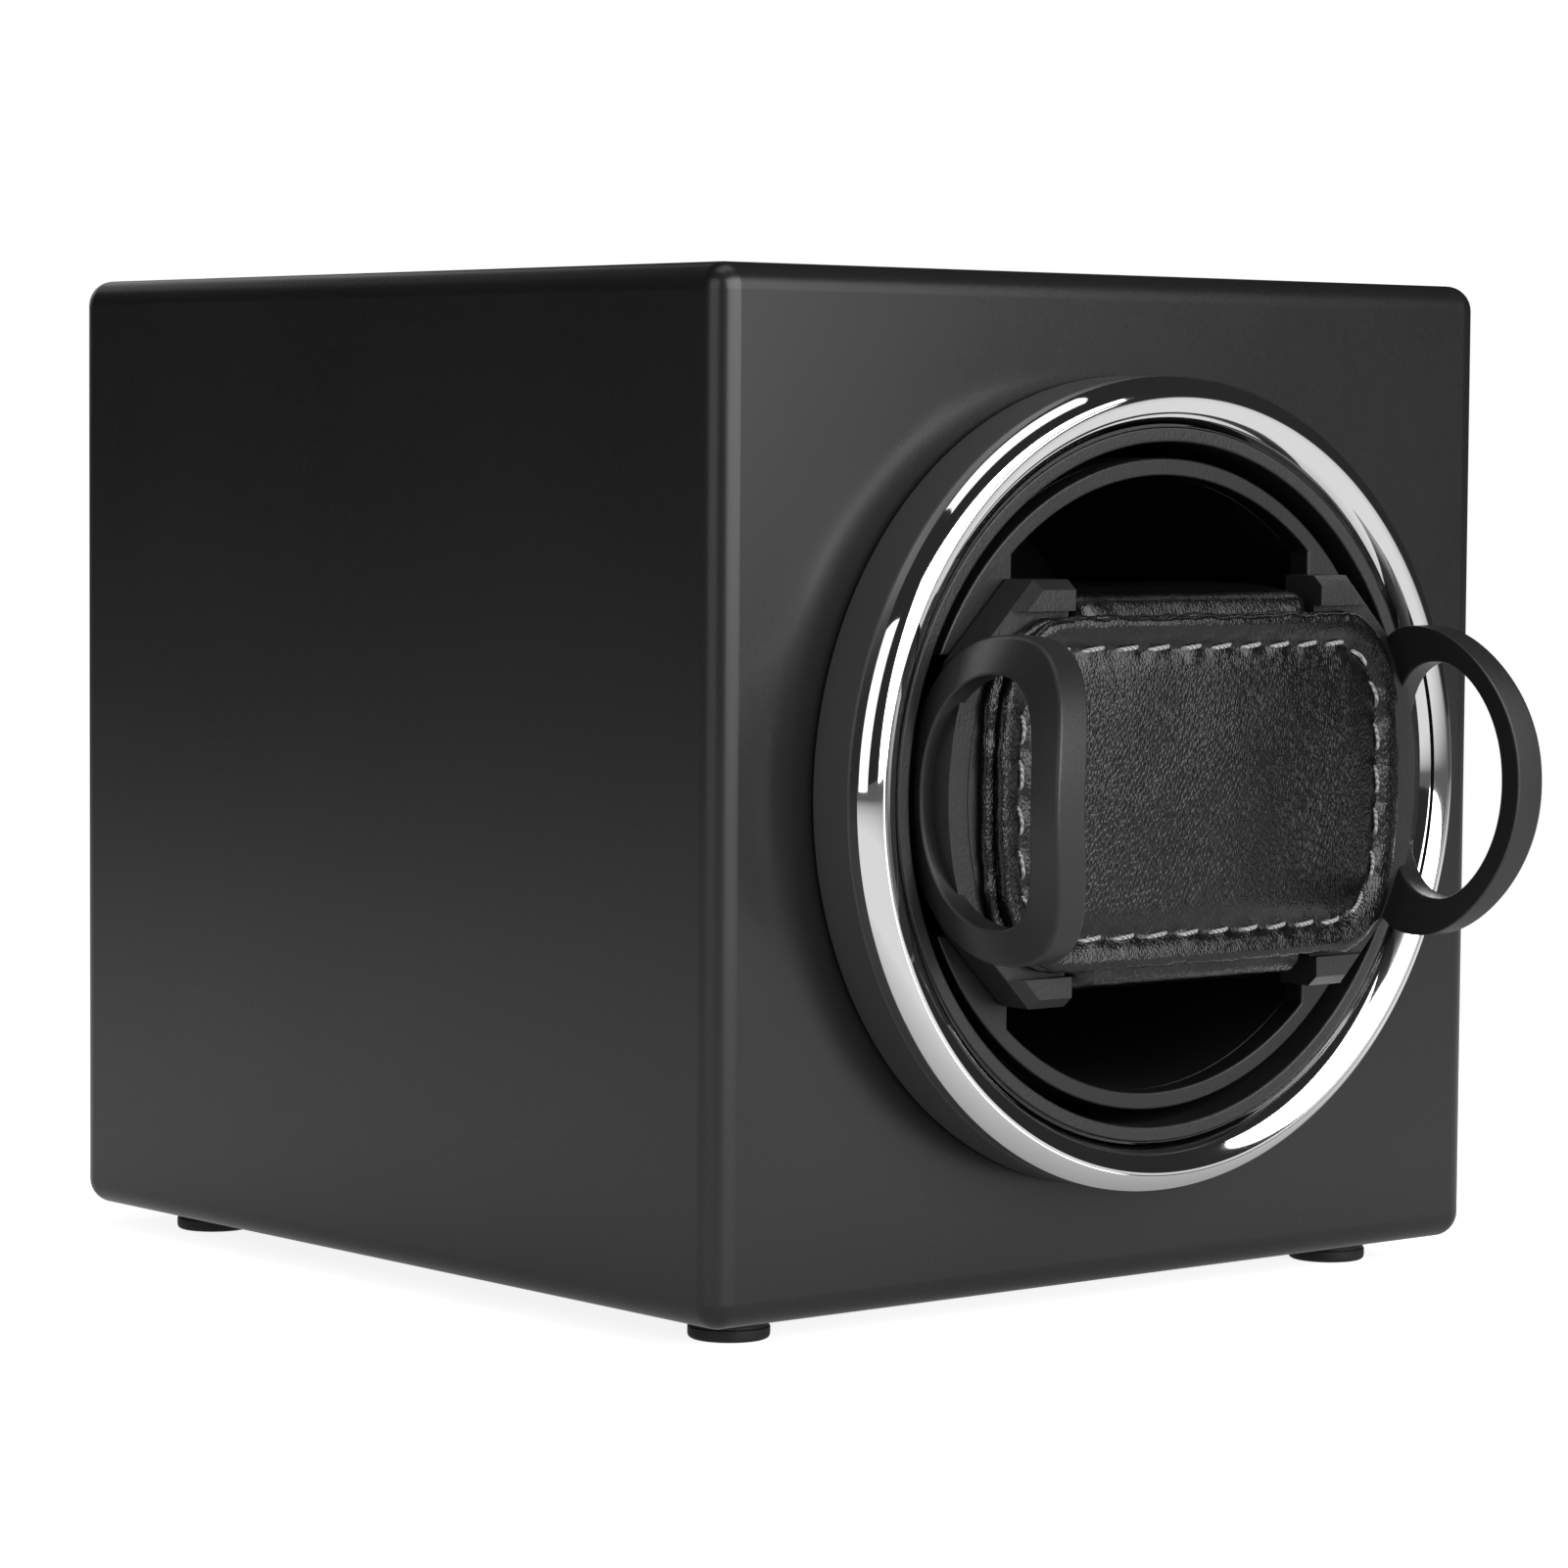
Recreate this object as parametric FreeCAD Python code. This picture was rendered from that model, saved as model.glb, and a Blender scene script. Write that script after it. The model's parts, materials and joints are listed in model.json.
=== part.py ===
import FreeCAD
import Part
import math
import os

# Watch winder box: a painted cube case with a chrome-ringed round mouth, a motor-driven
# rotor cup in it, and a leather watch holder with two finger loops clipped into the cup.
# Millimetres. Origin on the ground under the middle of the whole object, +Z up, front faces -Y.

V = FreeCAD.Vector
ALONG_X = V(1, 0, 0)
ALONG_Y = V(0, 1, 0)
ALONG_Z = V(0, 0, 1)

# ---------------------------------------------------------------- driving sizes
# case
case_width = 118.0
case_depth = 126.0
case_height = 115.0
case_edge_radius = 3.0
case_wall = 6.0
front_thickness = 8.0
panel_clearance = 0.2
back_panel_thickness = 3.0
corner_block_side = 12.0
corner_block_length = 16.0

# feet
foot_radius = 4.6
foot_flange_radius = 5.2
foot_flange_thickness = 1.0
foot_height = 3.0
foot_inset = 12.0
foot_screw_radius = 1.2
foot_screw_head_radius = 2.4
foot_screw_head_height = 1.0
foot_screw_length = 6.0

# bezel
base_ring_radius = 46.0
base_ring_height = 6.4
base_ring_flange_width = 4.0
base_ring_back_groove = 0.5
chrome_outer_wall = 1.2
chrome_crown_height = 10.4
chrome_crown_inset = 2.4
chrome_inner_height = 8.0
bezel_width = 5.8
trim_ring_wall = 1.6
trim_ring_height = 8.0
ring_fit = 0.05

# rotor cup and its front plate
rotor_trim_gap = 1.8
rotor_wall = 2.0
rotor_front_height = 6.9
rotor_plate_thickness = 3.0
rotor_depth = 50.0
rotor_bottom_thickness = 3.0
neck_mouth_gap = 0.3
notch_half_height = 15.2
notch_width = 6.8
notch_depth_in_cup = 3.0
hub_radius = 8.0
hub_length = 4.4

# rotor shaft, bush and chassis plate
shaft_radius = 3.0
shaft_running_fit = 0.05
press_fit = 0.02
bush_radius = 5.0
bush_flange_radius = 7.0
bush_flange_thickness = 1.0
bush_behind_plate = 1.6
thrust_gap = 0.3
chassis_thickness = 4.0
chassis_edge_gap = 2.0
post_radius = 4.0
post_wall_gap = 3.0
post_z = 16.0
post_screw_radius = 1.5
post_screw_head_radius = 3.0
post_screw_head_height = 1.8
post_screw_length = 12.0
clip_radius = 4.6
clip_thickness = 0.8
clip_slot = 4.0

# gears
rotor_radius_in_modules = 46.0
pressure_angle = 25.0
tooth_thinning = 0.07
output_teeth = 60
idler_small_teeth = 14
idler_large_teeth = 48
pinion_teeth = 12
output_gear_width = 5.0
idler_large_width = 3.5
gear_side_gap = 0.6
output_hub_radius = 6.5
motor_rotor_gap = 2.2
idler_pin_radius = 1.5
idler_clip_radius = 3.0

# motor
motor_radius = 12.0
motor_length = 26.0
motor_wall = 1.0
motor_nose_radius = 3.0
motor_nose_length = 3.2
motor_shaft_radius = 1.0
motor_cap_thickness = 2.5
magnet_thickness = 2.0
magnet_length = 14.0
magnet_angle = 110.0
armature_radius = 7.6
armature_length = 12.0
commutator_radius = 2.6
commutator_length = 4.0
air_gap = 0.4
terminal_width = 2.0
terminal_thickness = 0.5
terminal_length = 4.0
terminal_spacing = 14.0
motor_screw_radius = 1.0
motor_screw_head_radius = 1.9
motor_screw_head_height = 1.2
motor_screw_spacing = 17.0

# watch holder
cap_half_height = 23.5
cap_width = 17.2
cap_rotor_gap = 0.5
cap_corner_inset = 5.2
cap_step_height = 11.7
cap_front_height = 13.0
cap_step_margin = 1.1
cap_outer_step = 2.7
cap_plate_gap = 0.3
neck_thickness = 3.6
neck_half_height = 18.0
neck_depth = 17.2
squeeze_travel = 2.0
pillow_cap_gap = 0.3
pillow_half_height = 21.4
pillow_depth = 23.0
pillow_corner_radius = 4.0
pillow_end_radius = 0.8
core_half_width = 8.0
core_half_height = 16.5
core_thickness = 6.0
rod_radius = 1.5
rod_fit = 0.08
rod_half_spacing = 12.0
rod_end_inset = 0.5
pad_loop_inset = 7.1
pad_half_height = 19.7
pad_thickness = 3.8
pad_corner_radius = 9.0
pad_edge_radius = 1.4
soft_gap = 0.3

# finger loops
loop_front_height = 30.4
loop_widest_height = 17.5
loop_rear_height = 5.4
loop_half_height = 17.8
loop_hole_front_height = 26.9
loop_hole_widest_height = 18.5
loop_hole_rear_height = 9.0
loop_hole_half_height = 13.6
loop_oval_power = 2.3
loop_bezel_gap = 0.9
loop_belly_height = 19.0
loop_belly_bend = 0.013
loop_rear_arc_radius = 36.0
loop_front_arc_radius = 23.0
loop_rear_thickness = 2.6
loop_front_thickness = 4.4
loop_pad_gap = 0.4

# control board, socket, power switch and mode switch on the back panel
board_width = 70.0
board_height = 30.0
board_thickness = 1.6
board_centre_height = 24.0
standoff_length = 12.0
standoff_radius = 2.5
board_corner_inset = 4.0
board_screw_radius = 1.25
board_screw_head_radius = 2.3
board_screw_head_height = 1.4
chip_width = 10.0
chip_height = 7.0
chip_thickness = 2.0
capacitor_radius = 4.0
capacitor_length = 9.0
capacitor_spacing = 10.0
capacitor_x = 8.0
socket_x = -24.0
socket_width = 9.0
socket_height = 11.0
socket_nose_radius = 4.0
socket_bore_radius = 2.9
socket_bore_depth = 9.5
socket_pin_radius = 1.0
mode_x = 24.0
mode_body_side = 12.0
mode_body_gap = 2.0
mode_shaft_radius = 3.0
mode_bush_radius = 4.5
mode_running_fit = 0.06
knob_radius = 8.0
knob_height = 9.0
knob_gap = 0.8
knob_flutes = 12
knob_flute_radius = 1.3
knob_pointer_width = 1.4
knob_pointer_depth = 0.8
switch_z = 88.0
switch_width = 19.0
switch_height = 13.0
switch_wall = 1.5
switch_flange_margin = 1.6
switch_flange_thickness = 1.6
switch_depth = 14.0
rocker_tip_angle = 9.0
rocker_side_gap = 0.35
rocker_pivot_radius = 1.0
rocker_pivot_depth = 1.5
rocker_bulge = 3.0
rocker_depth = 4.0

# back panel screws
panel_screw_radius = 1.5
panel_screw_head_radius = 3.0
panel_screw_length = 12.0
screw_hole_gap = 0.15
slot_width = 0.7
slot_depth = 0.5

# ---------------------------------------------------------------- derived places
overall_depth = loop_front_height + case_depth + knob_gap + knob_height
front_y = loop_front_height - overall_depth / 2
back_y = front_y + case_depth
mid_y = (front_y + back_y) / 2
case_bottom = foot_height
case_top = foot_height + case_height
axis_z = foot_height + case_height / 2

base_ring_sleeve_radius = base_ring_radius - base_ring_flange_width
chrome_crown_radius = base_ring_radius - chrome_crown_inset
trim_ring_outer_radius = base_ring_radius - bezel_width
trim_ring_inner_radius = trim_ring_outer_radius - trim_ring_wall
rotor_radius = trim_ring_inner_radius - rotor_trim_gap
rotor_mouth_radius = rotor_radius - rotor_wall
notch_inner_x = rotor_radius - notch_width
cap_outer_radius = rotor_radius - cap_rotor_gap
cap_inner_x = cap_outer_radius - cap_width
cap_corner_x = cap_inner_x + cap_corner_inset
neck_outer_x = cap_inner_x + neck_thickness
mouth_flat_half_width = neck_outer_x + neck_mouth_gap
pillow_half_width = cap_inner_x - pillow_cap_gap
loop_belly_x = trim_ring_outer_radius - loop_bezel_gap
pad_half_width = loop_belly_x - pad_loop_inset
gear_module = rotor_radius / rotor_radius_in_modules


def ahead(distance):
    """Y of a plane that lies this far in front of the case's front face."""
    return front_y - distance


def block(x0, x1, y0, y1, z0, z1):
    return Part.makeBox(x1 - x0, y1 - y0, z1 - z0, V(x0, y0, z0))


def rod_y(radius, y0, y1, x=0.0, z=axis_z):
    """Round bar along Y, from y0 to y1."""
    return Part.makeCylinder(radius, y1 - y0, V(x, y0, z), ALONG_Y)


def tube_y(outer, inner, y0, y1, x=0.0, z=axis_z):
    return rod_y(outer, y0, y1, x, z).cut(rod_y(inner, y0, y1, x, z))


def turned(edges):
    """Solid of revolution about the rotor axis, from edges in the YZ plane above it."""
    face = Part.Face(Part.Wire(edges))
    return face.revolve(V(0, 0, axis_z), ALONG_Y, 360)


def at_radius(radius, distance):
    """Point on a turned profile: radius from the rotor axis, distance ahead of the case."""
    return V(0, ahead(distance), axis_z + radius)


def mirrored_x(shape):
    return shape.mirror(V(0, 0, 0), ALONG_X)


def group(shapes):
    return shapes[0] if len(shapes) == 1 else Part.makeCompound(shapes)


def prism_y(points, y0, y1):
    """Straight-sided or curved prism along Y from (x, z) points."""
    wire = Part.makePolygon([V(x, y0, z) for x, z in points + points[:1]])
    return Part.Face(wire).extrude(V(0, y1 - y0, 0))


def screw_y(radius, head_radius, head_height, length, x, z, head_y):
    """Cheese-head screw whose head stands on head_y and whose shank runs towards -Y."""
    head = rod_y(head_radius, head_y, head_y + head_height, x, z)
    shank = rod_y(radius, head_y - length, head_y, x, z)
    slot = block(x - head_radius, x + head_radius, head_y + head_height - slot_depth,
                 head_y + head_height, z - slot_width / 2, z + slot_width / 2)
    return head.fuse(shank).cut(slot)


# ---------------------------------------------------------------- case and back
inner_x = case_width / 2 - case_wall
inner_z0 = case_bottom + case_wall
inner_z1 = case_top - case_wall
front_inside_y = front_y + front_thickness
panel_y0 = back_y - back_panel_thickness

case_block = block(-case_width / 2, case_width / 2, front_y, back_y, case_bottom, case_top)
case_block = case_block.makeFillet(case_edge_radius, case_block.Edges)
case_cavity = block(-inner_x, inner_x, front_inside_y, back_y, inner_z0, inner_z1)
front_hole = rod_y(base_ring_sleeve_radius + ring_fit, front_y, front_inside_y)

foot_places = {}
for side_name, side in (("left", -1), ("right", 1)):
    for end_name, end in (("front", -1), ("rear", 1)):
        foot_places["foot_" + end_name + "_" + side_name] = (
            side * (case_width / 2 - foot_inset), mid_y + end * (case_depth / 2 - foot_inset))

foot_screw_hole = foot_screw_radius + press_fit
foot_screw_tip_z = foot_flange_thickness + foot_screw_length
case_shell = case_block.cut(case_cavity).cut(front_hole)
for x, y in foot_places.values():
    case_shell = case_shell.cut(
        Part.makeCylinder(foot_screw_hole, foot_screw_tip_z - case_bottom, V(x, y, case_bottom)))

feet = {}
foot_screws = []
foot_head_z = foot_flange_thickness
for name, (x, y) in foot_places.items():
    body = Part.makeCylinder(foot_radius, foot_height, V(x, y, 0))
    flange = Part.makeCylinder(foot_flange_radius, foot_flange_thickness,
                               V(x, y, foot_height - foot_flange_thickness))
    pocket = Part.makeCylinder(foot_screw_head_radius + screw_hole_gap, foot_head_z, V(x, y, 0))
    bore = Part.makeCylinder(foot_screw_hole, foot_height, V(x, y, 0))
    feet[name] = body.fuse(flange).cut(pocket).cut(bore)
    head = Part.makeCylinder(foot_screw_head_radius, foot_screw_head_height - soft_gap,
                             V(x, y, foot_head_z - foot_screw_head_height + soft_gap))
    shank = Part.makeCylinder(foot_screw_radius, foot_screw_length, V(x, y, foot_head_z))
    foot_screws.append(head.fuse(shank))

block_y0 = panel_y0 - corner_block_length
panel_screw_x = inner_x - corner_block_side / 2
panel_screw_zs = (inner_z0 + corner_block_side / 2, inner_z1 - corner_block_side / 2)
panel_screw_places = [(sx * panel_screw_x, z) for sx in (-1, 1) for z in panel_screw_zs]
corner_blocks = []
half_block = corner_block_side / 2
for x, z in panel_screw_places:
    piece = block(x - half_block, x + half_block, block_y0, panel_y0,
                  z - half_block, z + half_block)
    hole = rod_y(panel_screw_radius + press_fit, panel_y0 - panel_screw_length, panel_y0, x, z)
    corner_blocks.append(piece.cut(hole))


def countersunk_screw(x, z):
    cone = Part.makeCone(panel_screw_radius, panel_screw_head_radius, back_panel_thickness / 2,
                         V(x, back_y - back_panel_thickness / 2, z), ALONG_Y)
    shank = rod_y(panel_screw_radius, panel_y0 - panel_screw_length,
                  back_y - back_panel_thickness / 2, x, z)
    slots = [block(x - panel_screw_head_radius * 0.6, x + panel_screw_head_radius * 0.6,
                   back_y - slot_depth, back_y, z - slot_width / 2, z + slot_width / 2),
             block(x - slot_width / 2, x + slot_width / 2, back_y - slot_depth, back_y,
                   z - panel_screw_head_radius * 0.6, z + panel_screw_head_radius * 0.6)]
    return cone.fuse(shank).cut(slots[0]).cut(slots[1])


panel_screws = [countersunk_screw(x, z) for x, z in panel_screw_places]
switch_half_w = switch_width / 2
switch_half_h = switch_height / 2
back_panel = block(-inner_x + panel_clearance, inner_x - panel_clearance, panel_y0, back_y,
                   inner_z0 + panel_clearance, inner_z1 - panel_clearance)
for x, z in panel_screw_places:
    sink = Part.makeCone(panel_screw_radius + screw_hole_gap,
                         panel_screw_head_radius + screw_hole_gap, back_panel_thickness / 2,
                         V(x, back_y - back_panel_thickness / 2, z), ALONG_Y)
    back_panel = back_panel.cut(rod_y(panel_screw_radius + screw_hole_gap, panel_y0, back_y, x, z))
    back_panel = back_panel.cut(sink)
back_panel = back_panel.cut(rod_y(socket_nose_radius + screw_hole_gap, panel_y0, back_y,
                                  socket_x, board_centre_height))
back_panel = back_panel.cut(rod_y(mode_bush_radius + screw_hole_gap, panel_y0, back_y,
                                  mode_x, board_centre_height))
back_panel = back_panel.cut(block(-switch_half_w - screw_hole_gap, switch_half_w + screw_hole_gap,
                                  panel_y0, back_y, switch_z - switch_half_h - screw_hole_gap,
                                  switch_z + switch_half_h + screw_hole_gap))

# ---------------------------------------------------------------- bezel
ring_bore = trim_ring_outer_radius + ring_fit
bezel_base_ring = tube_y(base_ring_radius, ring_bore, ahead(base_ring_height), front_y)
bezel_base_ring = bezel_base_ring.fuse(
    tube_y(base_ring_sleeve_radius, ring_bore, front_y, front_inside_y))
bezel_base_ring = bezel_base_ring.cut(
    tube_y(base_ring_radius + 1, base_ring_radius - base_ring_back_groove,
           ahead(base_ring_back_groove), front_y))

wall_top = base_ring_height + chrome_outer_wall
outer_shoulder = at_radius(
    (base_ring_radius + chrome_crown_radius) / 2 + (base_ring_radius - chrome_crown_radius) * 0.25,
    wall_top + (chrome_crown_height - wall_top) * 0.78)
inner_slope = at_radius(
    (ring_bore + chrome_crown_radius) / 2 - (chrome_crown_radius - ring_bore) * 0.1,
    chrome_inner_height + (chrome_crown_height - chrome_inner_height) * 0.72)
chrome_bezel = turned([
    Part.makeLine(at_radius(ring_bore, base_ring_height),
                  at_radius(base_ring_radius, base_ring_height)),
    Part.makeLine(at_radius(base_ring_radius, base_ring_height),
                  at_radius(base_ring_radius, wall_top)),
    Part.Arc(at_radius(base_ring_radius, wall_top), outer_shoulder,
             at_radius(chrome_crown_radius, chrome_crown_height)).toShape(),
    Part.Arc(at_radius(chrome_crown_radius, chrome_crown_height), inner_slope,
             at_radius(ring_bore, chrome_inner_height)).toShape(),
    Part.makeLine(at_radius(ring_bore, chrome_inner_height),
                  at_radius(ring_bore, base_ring_height))])

trim_ring = tube_y(trim_ring_outer_radius, trim_ring_inner_radius, ahead(trim_ring_height),
                   front_inside_y)

# ---------------------------------------------------------------- rotor
plate_y0 = ahead(rotor_front_height)
plate_y1 = plate_y0 + rotor_plate_thickness
cup_y1 = plate_y0 + rotor_depth
cup_floor_y = cup_y1 - rotor_bottom_thickness
hub_y1 = cup_y1 + hub_length
plate_front_gap_y = hub_y1 + thrust_gap
chassis_y0 = plate_front_gap_y + bush_flange_thickness
chassis_y1 = chassis_y0 + chassis_thickness
bush_y1 = chassis_y1 + bush_behind_plate
gear_y0 = bush_y1 + thrust_gap
gear_y1 = gear_y0 + output_gear_width
shaft_y1 = gear_y1 + 2 * clip_thickness + thrust_gap

notches = [block(notch_inner_x, rotor_radius + 1, plate_y0 - 1, plate_y1 + notch_depth_in_cup,
                 axis_z - notch_half_height, axis_z + notch_half_height),
           block(-rotor_radius - 1, -notch_inner_x, plate_y0 - 1, plate_y1 + notch_depth_in_cup,
                 axis_z - notch_half_height, axis_z + notch_half_height)]
mouth = rod_y(rotor_mouth_radius, plate_y0, plate_y1).common(
    block(-mouth_flat_half_width, mouth_flat_half_width, plate_y0, plate_y1,
          axis_z - rotor_radius, axis_z + rotor_radius))
rotor_front_plate = rod_y(rotor_radius, plate_y0, plate_y1).cut(mouth)
rotor_cup = tube_y(rotor_radius, rotor_mouth_radius, plate_y1, cup_floor_y)
rotor_back = rod_y(rotor_radius, cup_floor_y, cup_y1).fuse(rod_y(hub_radius, cup_y1, hub_y1))
rotor_back = rotor_back.cut(rod_y(shaft_radius + press_fit, cup_floor_y, hub_y1))
for notch in notches:
    rotor_front_plate = rotor_front_plate.cut(notch)
    rotor_cup = rotor_cup.cut(notch)
rotor_shaft = rod_y(shaft_radius, cup_floor_y, shaft_y1)

# ---------------------------------------------------------------- gears
def involute(angle):
    return math.tan(angle) - angle


def gear_radii(teeth):
    pitch = gear_module * teeth / 2
    return pitch, pitch + gear_module, pitch - 1.25 * gear_module


def gear(teeth, phase_degrees, cx, cz, y0, y1):
    """Spur gear along Y, involute flanks as three-point arcs; a tooth points at the phase."""
    pitch, tip, root = gear_radii(teeth)
    alpha = math.radians(pressure_angle)
    base = pitch * math.cos(alpha)
    half_tooth = (math.pi * gear_module / 2 - tooth_thinning) / (2 * pitch) + involute(alpha)
    start = max(base, root)

    def point(radius, angle):
        return V(cx + radius * math.cos(angle), y0, cz + radius * math.sin(angle))

    def half_angle(radius):
        return half_tooth - involute(math.acos(base / radius))

    edges = []
    step = 2 * math.pi / teeth
    middle = (start + tip) / 2
    for index in range(teeth):
        centre = math.radians(phase_degrees) + index * step
        for side in (-1, 1):
            foot = point(start, centre + side * half_angle(start))
            waist = point(middle, centre + side * half_angle(middle))
            crest = point(tip, centre + side * half_angle(tip))
            bottom = point(root, centre + side * half_angle(start))
            if side < 0:
                if root < base:
                    edges.append(Part.makeLine(bottom, foot))
                edges.append(Part.Arc(foot, waist, crest).toShape())
                edges.append(Part.Arc(crest, point(tip, centre),
                                      point(tip, centre + half_angle(tip))).toShape())
            else:
                edges.append(Part.Arc(crest, waist, foot).toShape())
                if root < base:
                    edges.append(Part.makeLine(foot, bottom))
        gap_end = centre + step - half_angle(start)
        edges.append(Part.Arc(point(root, centre + half_angle(start)),
                              point(root, centre + step / 2),
                              point(root, gap_end)).toShape())
    return Part.Face(Part.Wire(edges)).extrude(V(0, y1 - y0, 0))


output_pitch = gear_radii(output_teeth)[0]
idler_small_pitch = gear_radii(idler_small_teeth)[0]
idler_large_pitch = gear_radii(idler_large_teeth)[0]
pinion_pitch = gear_radii(pinion_teeth)[0]
idler_offset = output_pitch + idler_small_pitch
motor_offset = idler_large_pitch + pinion_pitch

# the motor stands beside the cup, towards the lower right corner of the case
motor_distance = rotor_radius + motor_rotor_gap + motor_radius
corner_direction = -math.degrees(math.atan2(axis_z - inner_z0, inner_x))
motor_x = motor_distance * math.cos(math.radians(corner_direction))
motor_z = axis_z + motor_distance * math.sin(math.radians(corner_direction))
idler_turn = math.degrees(math.acos(
    (idler_offset ** 2 + motor_distance ** 2 - motor_offset ** 2)
    / (2 * idler_offset * motor_distance)))
idler_direction = corner_direction - idler_turn
idler_x = idler_offset * math.cos(math.radians(idler_direction))
idler_z = axis_z + idler_offset * math.sin(math.radians(idler_direction))
motor_direction = math.degrees(math.atan2(motor_z - idler_z, motor_x - idler_x))
large_y0 = gear_y1 + gear_side_gap
large_y1 = large_y0 + idler_large_width
idler_pin_y1 = large_y1 + 2 * clip_thickness + thrust_gap

output_gear = gear(output_teeth, idler_direction, 0, axis_z, gear_y0, gear_y1)
output_gear = output_gear.fuse(rod_y(output_hub_radius, gear_y0, gear_y1))
output_gear = output_gear.cut(rod_y(shaft_radius + press_fit, gear_y0, gear_y1))
lightening_radius = (output_pitch - output_hub_radius) / 4
lightening_offset = (output_pitch + output_hub_radius) / 2 - gear_module
for quarter in range(6):
    turn = math.radians(60 * quarter + 30)
    output_gear = output_gear.cut(
        rod_y(lightening_radius, gear_y0, gear_y1, lightening_offset * math.cos(turn),
              axis_z + lightening_offset * math.sin(turn)))

idler_gear = gear(idler_small_teeth, idler_direction + 180 + 180.0 / idler_small_teeth,
                  idler_x, idler_z, gear_y0, large_y0)
idler_gear = idler_gear.fuse(
    gear(idler_large_teeth, motor_direction, idler_x, idler_z, large_y0, large_y1))
idler_gear = idler_gear.cut(
    rod_y(idler_pin_radius + shaft_running_fit, gear_y0, large_y1, idler_x, idler_z))
idler_pin = rod_y(idler_pin_radius, chassis_y0, idler_pin_y1, idler_x, idler_z)
idler_collar = tube_y(idler_clip_radius, idler_pin_radius + press_fit, chassis_y1,
                      gear_y0 - thrust_gap / 2, idler_x, idler_z)


def clip(outer, inner, y0, x, z):
    """Spring clip: a flat ring with a slot on its upper side."""
    ring = tube_y(outer, inner + press_fit, y0, y0 + clip_thickness, x, z)
    width = min(clip_slot, 1.6 * inner)
    return ring.cut(block(x - width / 2, x + width / 2, y0, y0 + clip_thickness, z, z + outer))


rotor_clip = clip(clip_radius, shaft_radius, gear_y1, 0, axis_z)
idler_clip = clip(idler_clip_radius, idler_pin_radius, large_y1 + thrust_gap, idler_x, idler_z)

# ---------------------------------------------------------------- motor
motor_y1 = chassis_y0
motor_y0 = motor_y1 - motor_length
magnet_outer = motor_radius - motor_wall - press_fit
magnet_inner = magnet_outer - magnet_thickness
shaft_bore = motor_shaft_radius + shaft_running_fit
motor_can = tube_y(motor_radius, motor_radius - motor_wall, motor_y0 + motor_cap_thickness,
                   motor_y1, motor_x, motor_z)
motor_can = motor_can.fuse(tube_y(motor_radius, shaft_bore, motor_y1 - motor_wall, motor_y1,
                                  motor_x, motor_z))
motor_can = motor_can.fuse(tube_y(motor_nose_radius, shaft_bore, motor_y1,
                                  motor_y1 + motor_nose_length, motor_x, motor_z))
motor_screw_places = [(motor_x, motor_z + side * motor_screw_spacing / 2) for side in (-1, 1)]
motor_screw_tip = motor_y1 - 2.5 * motor_wall
for x, z in motor_screw_places:
    motor_can = motor_can.cut(rod_y(motor_screw_radius + press_fit, motor_screw_tip, motor_y1, x, z))
motor_end_cap = rod_y(motor_radius - motor_wall - press_fit, motor_y0,
                      motor_y0 + 2 * motor_cap_thickness, motor_x, motor_z)
motor_end_cap = motor_end_cap.fuse(rod_y(motor_radius, motor_y0, motor_y0 + motor_cap_thickness,
                                         motor_x, motor_z))
motor_end_cap = motor_end_cap.cut(rod_y(shaft_bore, motor_y0 + 1, motor_y0 + 2 * motor_cap_thickness,
                                        motor_x, motor_z))
motor_terminals = []
for side in (-1, 1):
    tx = motor_x + side * terminal_spacing / 2
    lug = block(tx - terminal_thickness / 2, tx + terminal_thickness / 2,
                motor_y0 - terminal_length, motor_y0,
                motor_z - terminal_width / 2, motor_z + terminal_width / 2)
    motor_terminals.append(lug.cut(Part.makeCylinder(
        terminal_width / 5, 2 * terminal_thickness,
        V(tx - terminal_thickness, motor_y0 - terminal_length * 0.7, motor_z), ALONG_X)))

magnet_y0 = motor_y1 - motor_wall - magnet_length - 3 * air_gap
motor_magnets = []
for side in (0, 180):
    ring = Part.makeCylinder(magnet_outer, magnet_length, V(0, 0, 0), ALONG_Z, magnet_angle)
    ring = ring.cut(Part.makeCylinder(magnet_inner, magnet_length))
    ring.rotate(V(0, 0, 0), ALONG_Z, -magnet_angle / 2 + side)
    ring.rotate(V(0, 0, 0), ALONG_X, -90)
    ring.translate(V(motor_x, magnet_y0, motor_z))
    motor_magnets.append(ring)

armature_y0 = magnet_y0 + (magnet_length - armature_length) / 2
pinion_y1 = large_y1
motor_shaft = rod_y(motor_shaft_radius, motor_y0 + 1 + air_gap, pinion_y1 + air_gap,
                    motor_x, motor_z)
motor_armature = rod_y(armature_radius, armature_y0, armature_y0 + armature_length,
                       motor_x, motor_z)
for third in range(3):
    turn = math.radians(120 * third + 30)
    motor_armature = motor_armature.cut(
        rod_y(armature_radius * 0.32, armature_y0, armature_y0 + armature_length,
              motor_x + armature_radius * 0.8 * math.cos(turn),
              motor_z + armature_radius * 0.8 * math.sin(turn)))
motor_armature = motor_armature.fuse(
    rod_y(commutator_radius, armature_y0 - commutator_length, armature_y0, motor_x, motor_z))
motor_armature = motor_armature.cut(
    rod_y(motor_shaft_radius + press_fit, motor_y0, motor_y1, motor_x, motor_z))
motor_pinion = gear(pinion_teeth, motor_direction + 180 + 180.0 / pinion_teeth, motor_x, motor_z,
                    large_y0 - gear_side_gap / 2, pinion_y1)
motor_pinion = motor_pinion.cut(
    rod_y(motor_shaft_radius + press_fit, gear_y0, pinion_y1, motor_x, motor_z))

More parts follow.
